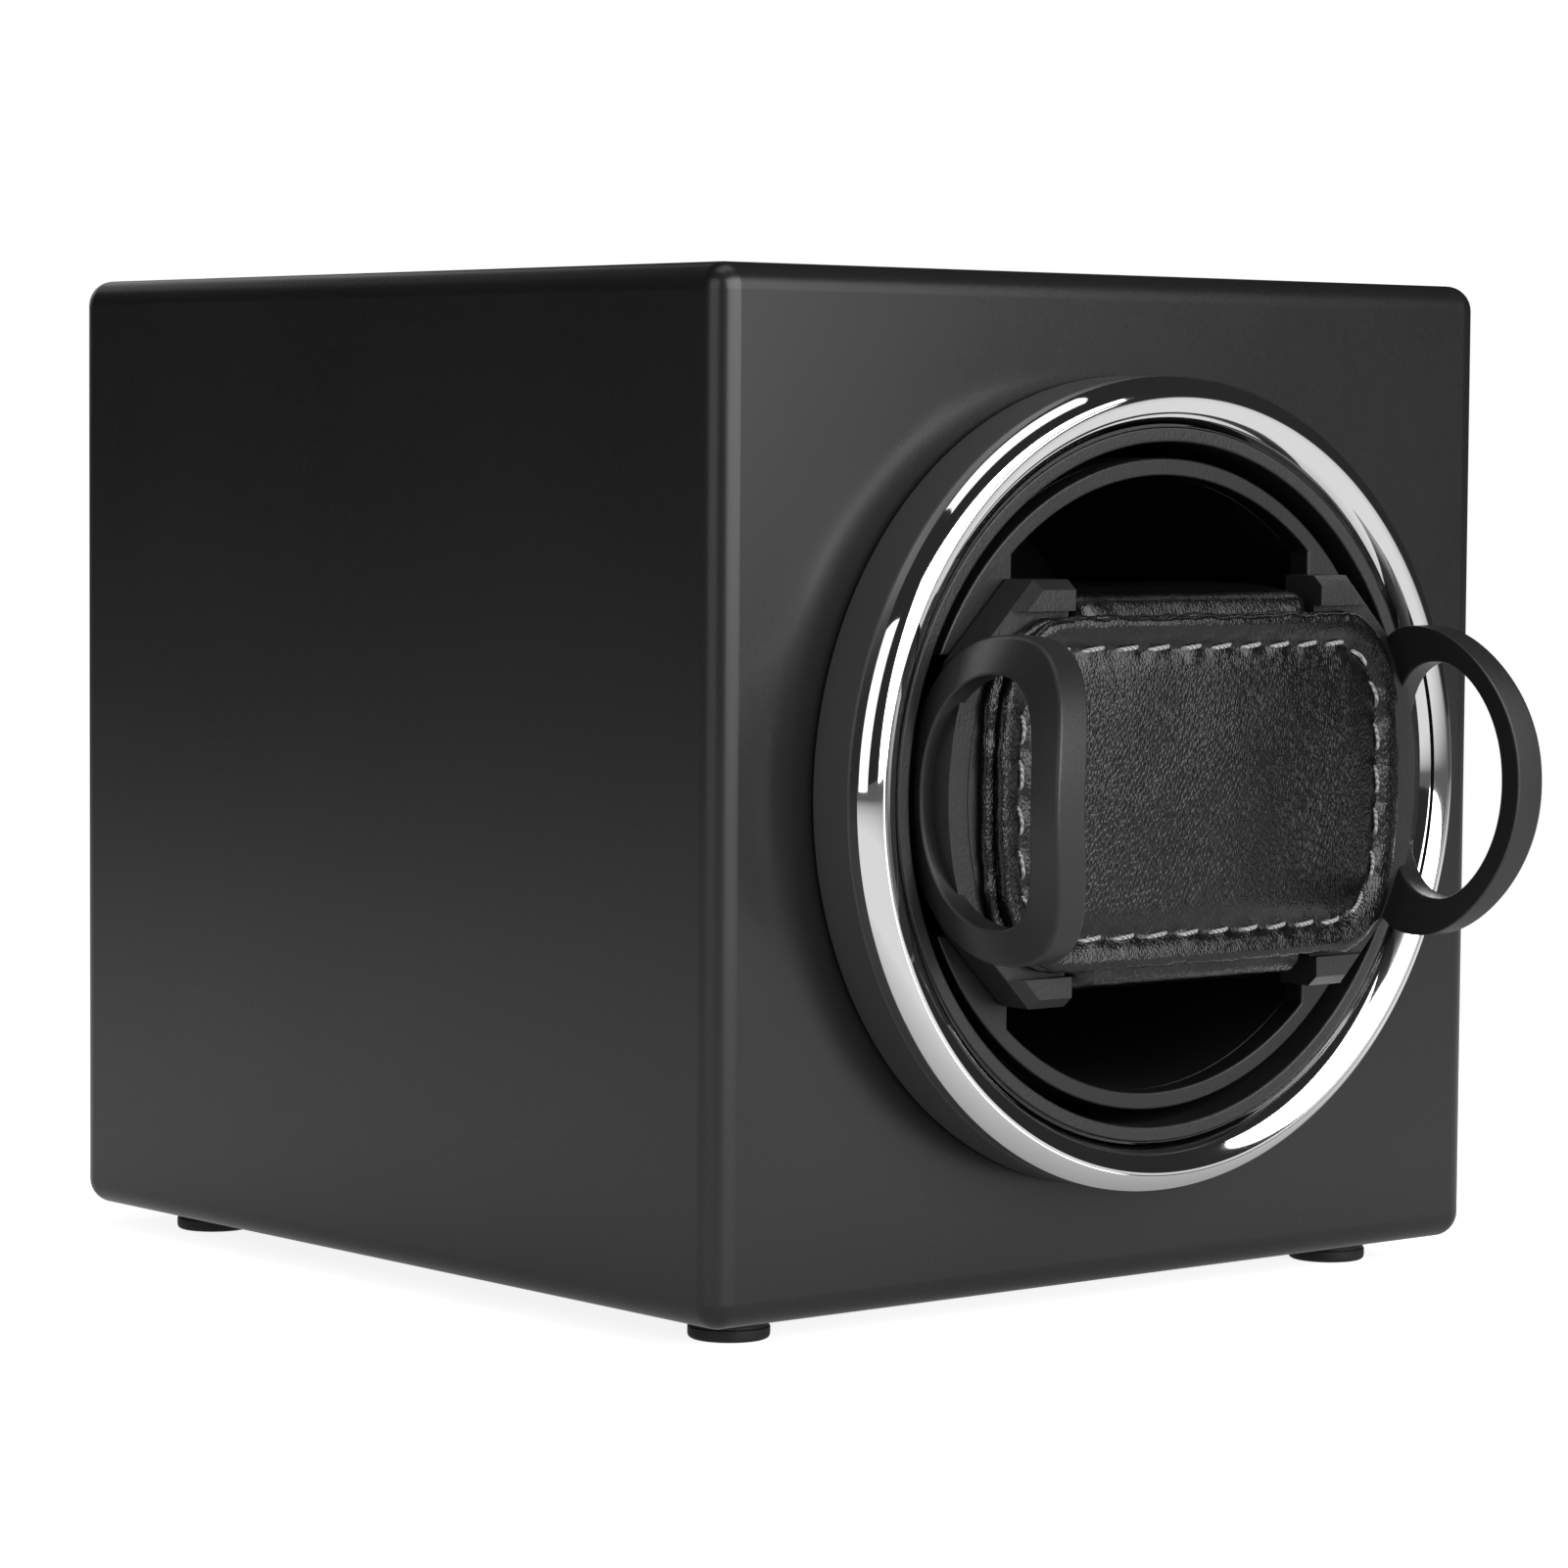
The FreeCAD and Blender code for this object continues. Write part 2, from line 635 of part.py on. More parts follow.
# ---------------------------------------------------------------- chassis plate and posts
chassis_half_x = inner_x - chassis_edge_gap
chassis_plate = block(-chassis_half_x, chassis_half_x, chassis_y0, chassis_y1,
                      inner_z0 + chassis_edge_gap, inner_z1 - chassis_edge_gap)
chassis_plate = chassis_plate.cut(rod_y(bush_radius + press_fit, chassis_y0, chassis_y1))
chassis_plate = chassis_plate.cut(
    rod_y(idler_pin_radius + press_fit, chassis_y0, chassis_y1, idler_x, idler_z))
chassis_plate = chassis_plate.cut(
    rod_y(motor_nose_radius + press_fit, chassis_y0, chassis_y1, motor_x, motor_z))
post_x = inner_x - post_wall_gap - post_radius
post_places = [(sx * post_x, axis_z + sz * post_z) for sx in (-1, 1) for sz in (-1, 1)]
for x, z in post_places:
    chassis_plate = chassis_plate.cut(
        rod_y(post_screw_radius + screw_hole_gap, chassis_y0, chassis_y1, x, z))
motor_screws = []
for x, z in motor_screw_places:
    chassis_plate = chassis_plate.cut(
        rod_y(motor_screw_radius + press_fit, chassis_y0, chassis_y1, x, z))
    motor_screws.append(screw_y(motor_screw_radius, motor_screw_head_radius,
                                motor_screw_head_height, chassis_y1 - motor_screw_tip,
                                x, z, chassis_y1))
chassis_posts = []
chassis_screws = []
for x, z in post_places:
    post = rod_y(post_radius, front_inside_y, chassis_y0, x, z)
    chassis_posts.append(post.cut(
        rod_y(post_screw_radius + press_fit, chassis_y1 - post_screw_length, chassis_y0, x, z)))
    chassis_screws.append(screw_y(post_screw_radius, post_screw_head_radius,
                                  post_screw_head_height, post_screw_length, x, z, chassis_y1))
rotor_bush = rod_y(bush_radius, chassis_y0, bush_y1).fuse(
    rod_y(bush_flange_radius, chassis_y0 - bush_flange_thickness, chassis_y0))
rotor_bush = rotor_bush.cut(
    rod_y(shaft_radius + shaft_running_fit, chassis_y0 - bush_flange_thickness, bush_y1))

# ---------------------------------------------------------------- watch holder
cap_back_y = plate_y0 - cap_plate_gap
cap_step_y = ahead(cap_step_height)
cap_front_y = ahead(cap_front_height)
neck_back_y = cap_back_y + neck_depth


def cap_outline(margin, outer_radius, y0, y1):
    """End cap seen from the front: straight inner side, 45 degree corners, round outer side."""
    half = cap_half_height - margin
    corner = cap_corner_x + cap_half_height - margin * math.sqrt(2)
    cut_x = corner - half
    far = outer_radius + 1
    cap = prism_y([(cap_inner_x, axis_z - half), (cut_x, axis_z - half),
                   (far, axis_z - corner + far), (far, axis_z + corner - far),
                   (cut_x, axis_z + half), (cap_inner_x, axis_z + half)], y0, y1)
    return cap.common(rod_y(outer_radius, y0, y1))


right_cap = cap_outline(0, cap_outer_radius, cap_step_y, cap_back_y)
right_cap = right_cap.fuse(
    cap_outline(cap_step_margin, cap_outer_radius - cap_outer_step, cap_front_y, cap_step_y))
right_cap = right_cap.fuse(block(cap_inner_x, neck_outer_x, cap_back_y, neck_back_y,
                                 axis_z - neck_half_height, axis_z + neck_half_height))

pillow_y0 = ahead(cap_front_height)
pillow_y1 = pillow_y0 + pillow_depth
core_y0 = (pillow_y0 + pillow_y1 - core_thickness) / 2
rod_centre_y = core_y0 + core_thickness / 2
holder_core = block(-core_half_width, core_half_width, core_y0, core_y0 + core_thickness,
                    axis_z - core_half_height, axis_z + core_half_height)
rear_pillow = block(-pillow_half_width, pillow_half_width, pillow_y0, pillow_y1,
                    axis_z - pillow_half_height, axis_z + pillow_half_height)
long_edges = [edge for edge in rear_pillow.Edges
              if edge.BoundBox.XLength > pillow_half_width]
rear_pillow = rear_pillow.makeFillet(pillow_corner_radius, long_edges)
end_edges = [edge for edge in rear_pillow.Edges if edge.BoundBox.XLength < press_fit]
rear_pillow = rear_pillow.makeFillet(pillow_end_radius, end_edges)
rear_pillow = rear_pillow.cut(holder_core)

rod_end_x = neck_outer_x - rod_end_inset
guide_rods = []
for side in (-1, 1):
    rod_z = axis_z + side * rod_half_spacing
    start = V(-rod_end_x, rod_centre_y, rod_z)
    rod = Part.makeCylinder(rod_radius, 2 * rod_end_x, start, ALONG_X)
    tight = Part.makeCylinder(rod_radius + press_fit, 2 * rod_end_x, start, ALONG_X)
    sliding = Part.makeCylinder(rod_radius + rod_fit, 2 * neck_outer_x,
                                V(0, rod_centre_y, rod_z), ALONG_X)
    guide_rods.append(rod)
    holder_core = holder_core.cut(tight)
    rear_pillow = rear_pillow.cut(tight)
    right_cap = right_cap.cut(sliding)
left_cap = mirrored_x(right_cap)

pad_y1 = pillow_y0 - soft_gap
pad_y0 = pad_y1 - pad_thickness


def rounded_slab(half_width, half_height, corner, y0, y1):
    """Slab facing the front with round corners."""
    slab = block(-half_width, half_width, y0, y1, axis_z - half_height, axis_z + half_height)
    corners = [edge for edge in slab.Edges if edge.BoundBox.YLength > (y1 - y0) / 2
               and edge.BoundBox.XLength < press_fit and edge.BoundBox.ZLength < press_fit]
    return slab.makeFillet(corner, corners)


front_pad = rounded_slab(pad_half_width, pad_half_height, pad_corner_radius, pad_y0, pad_y1)
rim_edges = [edge for edge in front_pad.Edges
             if edge.BoundBox.YMax < pad_y0 + pad_edge_radius]
front_pad = front_pad.makeFillet(pad_edge_radius, rim_edges)
pad_room = rounded_slab(pad_half_width + squeeze_travel + loop_pad_gap,
                        pad_half_height + loop_pad_gap, pad_corner_radius,
                        pad_y0 - loop_pad_gap, pad_y1)


# ---------------------------------------------------------------- finger loops
def oval_prism(front, widest, rear, half_height):
    """Oval seen from the side, blunt like a rounded box, as a bar along X."""
    points = []
    count = 32
    for index in range(count):
        turn = 2 * math.pi * index / count
        c = math.cos(turn)
        s = math.sin(turn)
        reach = front - widest if c > 0 else widest - rear
        power = 2 / loop_oval_power
        points.append(V(0, ahead(widest + reach * math.copysign(abs(c) ** power, c)),
                        axis_z + half_height * math.copysign(abs(s) ** power, s)))
    curve = Part.BSplineCurve()
    curve.interpolate(Points=points, PeriodicFlag=True)
    return Part.Face(Part.Wire(curve.toShape())).extrude(V(2 * rotor_radius, 0, 0))


def loop_section(height):
    """Curved strip across the loop at this height ahead of the case."""
    share = (height - loop_rear_height) / (loop_front_height - loop_rear_height)
    outer_x = loop_belly_x - loop_belly_bend * (height - loop_belly_height) ** 2
    arc = loop_rear_arc_radius + (loop_front_arc_radius - loop_rear_arc_radius) * share
    thickness = loop_rear_thickness + (loop_front_thickness - loop_rear_thickness) * share
    reach = loop_half_height + loop_pad_gap
    y = ahead(height)

    def strip(x, radius):
        drop = radius - math.sqrt(radius ** 2 - reach ** 2)
        return [V(x - drop, y, axis_z - reach), V(x, y, axis_z), V(x - drop, y, axis_z + reach)]

    outer = strip(outer_x, arc)
    inner = strip(outer_x - thickness, arc)
    return Part.Wire([Part.Arc(*outer).toShape(), Part.makeLine(outer[2], inner[2]),
                      Part.Arc(*reversed(inner)).toShape(), Part.makeLine(inner[0], outer[0])])


section_count = 5
section_heights = [loop_rear_height + (loop_front_height - loop_rear_height) * step
                   / (section_count - 1) for step in range(section_count)]
section_heights[0] -= loop_pad_gap
section_heights[-1] += loop_pad_gap
right_loop = Part.makeLoft([loop_section(height) for height in section_heights], True)
right_loop = right_loop.common(oval_prism(loop_front_height, loop_widest_height,
                                          loop_rear_height, loop_half_height))
right_loop = right_loop.cut(oval_prism(loop_hole_front_height, loop_hole_widest_height,
                                       loop_hole_rear_height, loop_hole_half_height))
right_loop = right_loop.cut(cap_outline(0, cap_outer_radius, cap_step_y, cap_back_y))
right_loop = right_loop.cut(
    cap_outline(cap_step_margin, cap_outer_radius - cap_outer_step, cap_front_y, cap_step_y))
right_loop = right_loop.cut(pad_room)
left_loop = mirrored_x(right_loop)

# ---------------------------------------------------------------- control board and switches
board_y1 = panel_y0 - standoff_length
board_y0 = board_y1 - board_thickness
board_z0 = board_centre_height - board_height / 2
board_z1 = board_centre_height + board_height / 2
control_board = block(-board_width / 2, board_width / 2, board_y0, board_y1, board_z0, board_z1)
standoff_places = [(sx * (board_width / 2 - board_corner_inset),
                    board_centre_height + sz * (board_height / 2 - board_corner_inset))
                   for sx in (-1, 1) for sz in (-1, 1)]
board_standoffs = []
board_screws = []
for x, z in standoff_places:
    control_board = control_board.cut(
        rod_y(board_screw_radius + screw_hole_gap, board_y0, board_y1, x, z))
    board_standoffs.append(
        rod_y(standoff_radius, board_y1, panel_y0, x, z).cut(
            rod_y(board_screw_radius + press_fit, board_y1, board_y1 + standoff_length / 2, x, z)))
    head = rod_y(board_screw_head_radius, board_y0 - board_screw_head_height, board_y0, x, z)
    shank = rod_y(board_screw_radius, board_y0, board_y1 + standoff_length / 2, x, z)
    board_screws.append(head.fuse(shank))
control_chip = block(-chip_width / 2, chip_width / 2, board_y0 - chip_thickness, board_y0,
                     board_centre_height - chip_height / 2, board_centre_height + chip_height / 2)
board_capacitors = [rod_y(capacitor_radius, board_y0 - capacitor_length, board_y0,
                          capacitor_x + capacitor_radius + chip_height / 2 + index * capacitor_spacing,
                          board_centre_height) for index in range(2)]

power_socket = block(socket_x - socket_width / 2, socket_x + socket_width / 2, board_y1, panel_y0,
                     board_centre_height - socket_height / 2,
                     board_centre_height + socket_height / 2)
power_socket = power_socket.fuse(
    rod_y(socket_nose_radius, panel_y0, back_y, socket_x, board_centre_height))
power_socket = power_socket.cut(
    rod_y(socket_bore_radius, back_y - socket_bore_depth, back_y, socket_x, board_centre_height))
socket_pin = rod_y(socket_pin_radius, back_y - socket_bore_depth - 1, back_y - 1.5, socket_x,
                   board_centre_height)
power_socket = power_socket.cut(socket_pin)

mode_half = mode_body_side / 2
mode_body_y0 = board_y1
mode_switch_body = block(mode_x - mode_half, mode_x + mode_half, mode_body_y0,
                         panel_y0, board_centre_height - mode_half,
                         board_centre_height + mode_half)
mode_switch_body = mode_switch_body.fuse(
    rod_y(mode_bush_radius, panel_y0, back_y, mode_x, board_centre_height))
mode_switch_body = mode_switch_body.cut(
    rod_y(mode_shaft_radius + mode_running_fit, mode_body_y0 + mode_body_gap, back_y,
          mode_x, board_centre_height))
knob_y0 = back_y + knob_gap
knob_y1 = knob_y0 + knob_height
mode_shaft = rod_y(mode_shaft_radius, mode_body_y0 + mode_body_gap + thrust_gap,
                   knob_y1 - knob_height / 3, mode_x, board_centre_height)
mode_knob = rod_y(knob_radius, knob_y0, knob_y1, mode_x, board_centre_height)
for index in range(knob_flutes):
    turn = 2 * math.pi * (index + 0.5) / knob_flutes
    mode_knob = mode_knob.cut(
        rod_y(knob_flute_radius, knob_y0, knob_y1,
              mode_x + (knob_radius + knob_flute_radius / 2) * math.cos(turn),
              board_centre_height + (knob_radius + knob_flute_radius / 2) * math.sin(turn)))
mode_knob = mode_knob.cut(
    block(mode_x - knob_pointer_width / 2, mode_x + knob_pointer_width / 2,
          knob_y1 - knob_pointer_depth, knob_y1, board_centre_height,
          board_centre_height + knob_radius))
mode_knob = mode_knob.cut(rod_y(mode_shaft_radius + press_fit, knob_y0,
                                knob_y1 - knob_height / 3, mode_x, board_centre_height))

switch_y0 = panel_y0 - switch_depth + back_panel_thickness
flange_y1 = back_y + switch_flange_thickness
rocker_half_w = switch_half_w - switch_wall - rocker_side_gap
rocker_half_h = switch_half_h - switch_wall - rocker_side_gap
power_switch = block(-switch_half_w, switch_half_w, switch_y0, back_y,
                     switch_z - switch_half_h, switch_z + switch_half_h)
power_switch = power_switch.fuse(
    block(-switch_half_w - switch_flange_margin, switch_half_w + switch_flange_margin,
          back_y, flange_y1, switch_z - switch_half_h - switch_flange_margin,
          switch_z + switch_half_h + switch_flange_margin))
rocker_room_y0 = flange_y1 - rocker_depth - rocker_bulge
power_switch = power_switch.cut(
    block(-switch_half_w + switch_wall, switch_half_w - switch_wall, rocker_room_y0, flange_y1,
          switch_z - switch_half_h + switch_wall, switch_z + switch_half_h - switch_wall))
pivot_y = flange_y1 - rocker_pivot_radius - 0.6 * switch_flange_thickness
pivot_reach = rocker_half_w + rocker_side_gap + rocker_pivot_depth * 0.6
power_switch = power_switch.cut(Part.makeCylinder(
    rocker_pivot_radius + shaft_running_fit, 2 * (pivot_reach + rocker_side_gap),
    V(-pivot_reach - rocker_side_gap, pivot_y, switch_z), ALONG_X))
rise = rocker_half_h * math.tan(math.radians(rocker_tip_angle))
swing = math.radians(rocker_tip_angle)
short_half = rocker_half_h * math.cos(swing) - rocker_side_gap
rocker_section = [V(-rocker_half_w, pivot_y - rocker_depth / 2, switch_z - short_half),
                  V(-rocker_half_w, pivot_y + rocker_bulge, switch_z - short_half),
                  V(-rocker_half_w, pivot_y + rocker_bulge - rise, switch_z),
                  V(-rocker_half_w, pivot_y + rocker_bulge, switch_z + short_half),
                  V(-rocker_half_w, pivot_y - rocker_depth / 2, switch_z + short_half)]
power_rocker = Part.Face(Part.makePolygon(rocker_section + rocker_section[:1])).extrude(
    V(2 * rocker_half_w, 0, 0))
power_rocker = power_rocker.fuse(Part.makeCylinder(
    rocker_pivot_radius, 2 * pivot_reach, V(-pivot_reach, pivot_y, switch_z), ALONG_X))
power_rocker.rotate(V(0, pivot_y, switch_z), ALONG_X, -rocker_tip_angle)

# ---------------------------------------------------------------- write the pieces
pieces = {
    "case_shell": case_shell,
    "case_corner_blocks": group(corner_blocks),
    "back_panel": back_panel,
    "back_panel_screws": group(panel_screws),
    "foot_screws": group(foot_screws),
    "bezel_base_ring": bezel_base_ring,
    "chrome_bezel": chrome_bezel,
    "trim_ring": trim_ring,
    "chassis_plate": chassis_plate,
    "chassis_posts": group(chassis_posts),
    "chassis_screws": group(chassis_screws),
    "rotor_bush": rotor_bush,
    "idler_pin": idler_pin,
    "idler_collar": idler_collar,
    "idler_clip": idler_clip,
    "motor_can": motor_can,
    "motor_end_cap": motor_end_cap,
    "motor_terminals": group(motor_terminals),
    "motor_magnets": group(motor_magnets),
    "motor_screws": group(motor_screws),
    "control_board": control_board,
    "control_chip": control_chip,
    "board_capacitors": group(board_capacitors),
    "board_standoffs": group(board_standoffs),
    "board_screws": group(board_screws),
    "power_socket": power_socket,
    "power_socket_pin": socket_pin,
    "mode_switch_body": mode_switch_body,
    "power_switch_housing": power_switch,
    "rotor_cup": rotor_cup,
    "rotor_back": rotor_back,
    "rotor_front_plate": rotor_front_plate,
    "rotor_shaft": rotor_shaft,
    "output_gear": output_gear,
    "rotor_clip": rotor_clip,
    "idler_gear": idler_gear,
    "motor_shaft": motor_shaft,
    "motor_armature": motor_armature,
    "motor_pinion": motor_pinion,
    "holder_core": holder_core,
    "holder_guide_rods": group(guide_rods),
    "rear_pillow": rear_pillow,
    "front_pad": front_pad,
    "left_end_cap": left_cap,
    "right_end_cap": right_cap,
    "left_finger_loop": left_loop,
    "right_finger_loop": right_loop,
    "mode_shaft": mode_shaft,
    "mode_knob": mode_knob,
    "power_rocker": power_rocker,
}
pieces.update(feet)

os.makedirs("parts", exist_ok=True)
for name, shape in pieces.items():
    shape.exportStep("parts/" + name + ".step")
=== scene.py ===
import json
import math

import bmesh
import bpy
from mathutils import Matrix, Vector, noise

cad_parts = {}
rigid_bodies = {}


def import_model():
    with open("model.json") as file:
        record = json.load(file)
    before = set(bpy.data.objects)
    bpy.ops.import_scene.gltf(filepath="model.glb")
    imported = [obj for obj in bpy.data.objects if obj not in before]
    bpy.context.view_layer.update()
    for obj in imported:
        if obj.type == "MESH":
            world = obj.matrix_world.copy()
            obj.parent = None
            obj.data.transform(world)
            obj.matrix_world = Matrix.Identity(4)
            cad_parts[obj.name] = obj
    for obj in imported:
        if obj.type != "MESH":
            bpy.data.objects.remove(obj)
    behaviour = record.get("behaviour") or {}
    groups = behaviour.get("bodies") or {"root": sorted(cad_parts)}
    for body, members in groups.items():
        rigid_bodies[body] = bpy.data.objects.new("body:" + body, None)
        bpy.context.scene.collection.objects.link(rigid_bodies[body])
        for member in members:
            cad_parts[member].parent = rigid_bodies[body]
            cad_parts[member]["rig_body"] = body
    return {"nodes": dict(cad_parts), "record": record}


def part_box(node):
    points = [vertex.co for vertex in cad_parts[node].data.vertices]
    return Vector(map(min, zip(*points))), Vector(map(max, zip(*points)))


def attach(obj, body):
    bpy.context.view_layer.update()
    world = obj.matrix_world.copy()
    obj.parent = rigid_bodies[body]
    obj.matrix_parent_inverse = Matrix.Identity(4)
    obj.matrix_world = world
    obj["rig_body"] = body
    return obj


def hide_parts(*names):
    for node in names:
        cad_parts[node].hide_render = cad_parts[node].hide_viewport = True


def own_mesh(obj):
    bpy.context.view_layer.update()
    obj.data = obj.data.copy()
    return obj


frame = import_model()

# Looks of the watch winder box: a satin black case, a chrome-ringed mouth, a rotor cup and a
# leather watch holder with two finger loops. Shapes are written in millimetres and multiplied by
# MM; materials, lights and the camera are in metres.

for name in ("Cube", "Light", "Camera"):
    if name in bpy.data.objects:
        bpy.data.objects.remove(bpy.data.objects[name])

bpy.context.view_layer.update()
nodes = frame["nodes"]
MM = 0.001

case_low, case_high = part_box("case_shell")
front_y = case_low.y
axis_z = (case_low.z + case_high.z) / 2


def ahead(distance):
    """Y of a plane this many millimetres in front of the case's front face."""
    return front_y - distance * MM


# ---------------------------------------------------------------- materials
def make_material(name):
    """A new material with its node tree and its Principled shader."""
    material = bpy.data.materials.new(name)
    material.use_nodes = True
    return material, material.node_tree, material.node_tree.nodes["Principled BSDF"]


def add_node(tree, kind, inputs=(), **settings):
    """A node of that kind, with its settings and its unlinked input values."""
    node = tree.nodes.new(kind)
    for key, value in settings.items():
        setattr(node, key, value)
    for key, value in dict(inputs).items():
        node.inputs[key].default_value = value
    return node


def coordinates(tree, stretch=(1, 1, 1)):
    """Object coordinates, multiplied by stretch, which makes a pattern finer along an axis."""
    place = add_node(tree, "ShaderNodeTexCoord").outputs["Object"]
    if stretch == (1, 1, 1):
        return place
    mapping = add_node(tree, "ShaderNodeMapping", {"Scale": stretch})
    tree.links.new(place, mapping.inputs["Vector"])
    return mapping.outputs["Vector"]


def noise_value(tree, place, size, detail=3.0, roughness=0.5):
    """Noise whose main lumps are about size metres across."""
    node = add_node(tree, "ShaderNodeTexNoise", {
        "Scale": 1 / size, "Detail": detail, "Roughness": roughness})
    tree.links.new(place, node.inputs["Vector"])
    return node.outputs["Fac"]


def remap(tree, value, low, high, start=0.25, end=0.75):
    """Value from the range start to end carried over to the range low to high."""
    node = add_node(tree, "ShaderNodeMapRange", {
        "From Min": start, "From Max": end, "To Min": low, "To Max": high})
    tree.links.new(value, node.inputs["Value"])
    return node.outputs["Result"]


def tint(tree, value, dark, light):
    """Colour between dark and light by value."""
    node = add_node(tree, "ShaderNodeMix", data_type="RGBA")
    node.inputs["A"].default_value = (*dark, 1)
    node.inputs["B"].default_value = (*light, 1)
    tree.links.new(value, node.inputs["Factor"])
    return node.outputs["Result"]


def weighted_sum(tree, value, weight, other):
    """Value times its weight, plus the other value."""
    node = add_node(tree, "ShaderNodeMath", operation="MULTIPLY_ADD")
    node.inputs[1].default_value = weight
    tree.links.new(value, node.inputs[0])
    tree.links.new(other, node.inputs[2])
    return node.outputs[0]


def bump(tree, value, depth, strength=1.0, under=None):
    """Bump of that real depth in metres, laid over an earlier bump if one is given."""
    node = add_node(tree, "ShaderNodeBump", {"Strength": strength, "Distance": depth})
    tree.links.new(value, node.inputs["Height"])
    if under is not None:
        tree.links.new(under, node.inputs["Normal"])
    return node.outputs["Normal"]


def surface(name, colour, roughness, metallic=0.0, mottle=0.12, mottle_size=0.012,
            gloss_change=0.04, grain=0.0004, grain_depth=0.00002, grain_detail=2.0,
            stretch=(1, 1, 1), specular=0.5, coat=0.0):
    """Moulded, painted or metal surface: mottled colour, uneven gloss and a fine grain."""
    material, tree, shader = make_material(name)
    place = coordinates(tree, stretch)
    broad = noise_value(tree, place, mottle_size, 4.0, 0.6)
    fine = noise_value(tree, place, grain, grain_detail, 0.6)
    dark = [c * (1 - mottle) for c in colour]
    light = [min(1, c * (1 + mottle)) for c in colour]
    tree.links.new(tint(tree, remap(tree, broad, 0, 1), dark, light), shader.inputs["Base Color"])
    tree.links.new(remap(tree, weighted_sum(tree, fine, 0.5, broad), roughness - gloss_change,
                         roughness + gloss_change, 0.5, 1.0), shader.inputs["Roughness"])
    tree.links.new(bump(tree, fine, grain_depth), shader.inputs["Normal"])
    shader.inputs["Metallic"].default_value = metallic
    shader.inputs["Specular IOR Level"].default_value = specular
    shader.inputs["Coat Weight"].default_value = coat
    shader.inputs["Coat Roughness"].default_value = 0.1
    return material


def leather_material(name, grain, depth):
    """Fine black leather: pebbles of that size in metres between creases of that depth, with
    painted shade darkening the colour in the creases.
    """
    material, tree, shader = make_material(name)
    place = coordinates(tree, (1.15, 1, 0.55))
    bend = noise_value(tree, place, grain * 2.2, 2.0, 0.5)
    shifted = add_node(tree, "ShaderNodeVectorMath", operation="MULTIPLY_ADD")
    tree.links.new(bend, shifted.inputs[0])
    shifted.inputs[1].default_value = (grain, grain, grain)
    tree.links.new(place, shifted.inputs[2])
    cells = add_node(tree, "ShaderNodeTexVoronoi", {"Scale": 1 / grain, "Randomness": 1.0},
                     feature="DISTANCE_TO_EDGE")
    tree.links.new(shifted.outputs[0], cells.inputs["Vector"])
    pebble = remap(tree, cells.outputs["Distance"], 0, 1, 0.0, 0.28)
    fine = noise_value(tree, place, grain * 0.35, 3.0, 0.6)
    broad = noise_value(tree, place, 0.009, 3.0, 0.5)
    # the colour is darker in the creases between the pebbles, following the crease bump: painted
    # shade
    tree.links.new(tint(tree, pebble, (0.003, 0.0027, 0.0028), (0.007, 0.0064, 0.0066)),
                   shader.inputs["Base Color"])
    tree.links.new(remap(tree, weighted_sum(tree, broad, 0.6, fine), 0.18, 0.25, 0.5, 1.1),
                   shader.inputs["Roughness"])
    worn = noise_value(tree, place, 0.016, 2.0, 0.5)
    kept = add_node(tree, "ShaderNodeMath", operation="MULTIPLY")
    tree.links.new(pebble, kept.inputs[0])
    tree.links.new(remap(tree, worn, 0.72, 1.0, 0.38, 0.58), kept.inputs[1])
    creases = bump(tree, kept.outputs[0], depth)
    pores = bump(tree, fine, depth * 0.2, 1.0, creases)
    tree.links.new(bump(tree, broad, 0.00012, 0.5, pores), shader.inputs["Normal"])
    shader.inputs["Specular IOR Level"].default_value = 0.41
    return material


def thread_material(name):
    """Waxed grey thread with the twist of its two plies, with painted shade darkening the grooves
    between the plies.
    """
    material, tree, shader = make_material(name)
    place = coordinates(tree)
    twist = add_node(tree, "ShaderNodeTexWave", {
        "Scale": 900.0, "Distortion": 1.5, "Detail": 1.0}, bands_direction="DIAGONAL")
    tree.links.new(place, twist.inputs["Vector"])
    # the colour is darker in the grooves of the twist and lighter on its ridges: painted shade
    tree.links.new(tint(tree, twist.outputs["Fac"], (0.12, 0.12, 0.118), (0.42, 0.42, 0.41)),
                   shader.inputs["Base Color"])
    tree.links.new(remap(tree, twist.outputs["Fac"], 0.5, 0.7, 0, 1), shader.inputs["Roughness"])
    tree.links.new(bump(tree, twist.outputs["Fac"], 0.00008), shader.inputs["Normal"])
    shader.inputs["Sheen Weight"].default_value = 0.2
    return material


def brushed(name, colour, roughness, stretch, metallic=1.0):
    """Ground or rolled metal: fine scratches along the axis that isn't stretched."""
    return surface(name, colour, roughness, metallic, mottle=0.08, mottle_size=0.006,
                   gloss_change=0.08, grain=0.0003, grain_depth=0.000008, stretch=stretch)


def wood_material(name):
    """Sawn pine with darker rings."""
    material, tree, shader = make_material(name)
    place = coordinates(tree, (1, 0.12, 1))
    rings = add_node(tree, "ShaderNodeTexWave", {
        "Scale": 320.0, "Distortion": 6.0, "Detail": 3.0}, bands_direction="X")
    tree.links.new(place, rings.inputs["Vector"])
    fibres = noise_value(tree, place, 0.0006, 4.0, 0.6)
    tree.links.new(tint(tree, rings.outputs["Fac"], (0.42, 0.27, 0.14), (0.62, 0.45, 0.27)),
                   shader.inputs["Base Color"])
    tree.links.new(remap(tree, fibres, 0.6, 0.85), shader.inputs["Roughness"])
    tree.links.new(bump(tree, fibres, 0.0001), shader.inputs["Normal"])
    return material


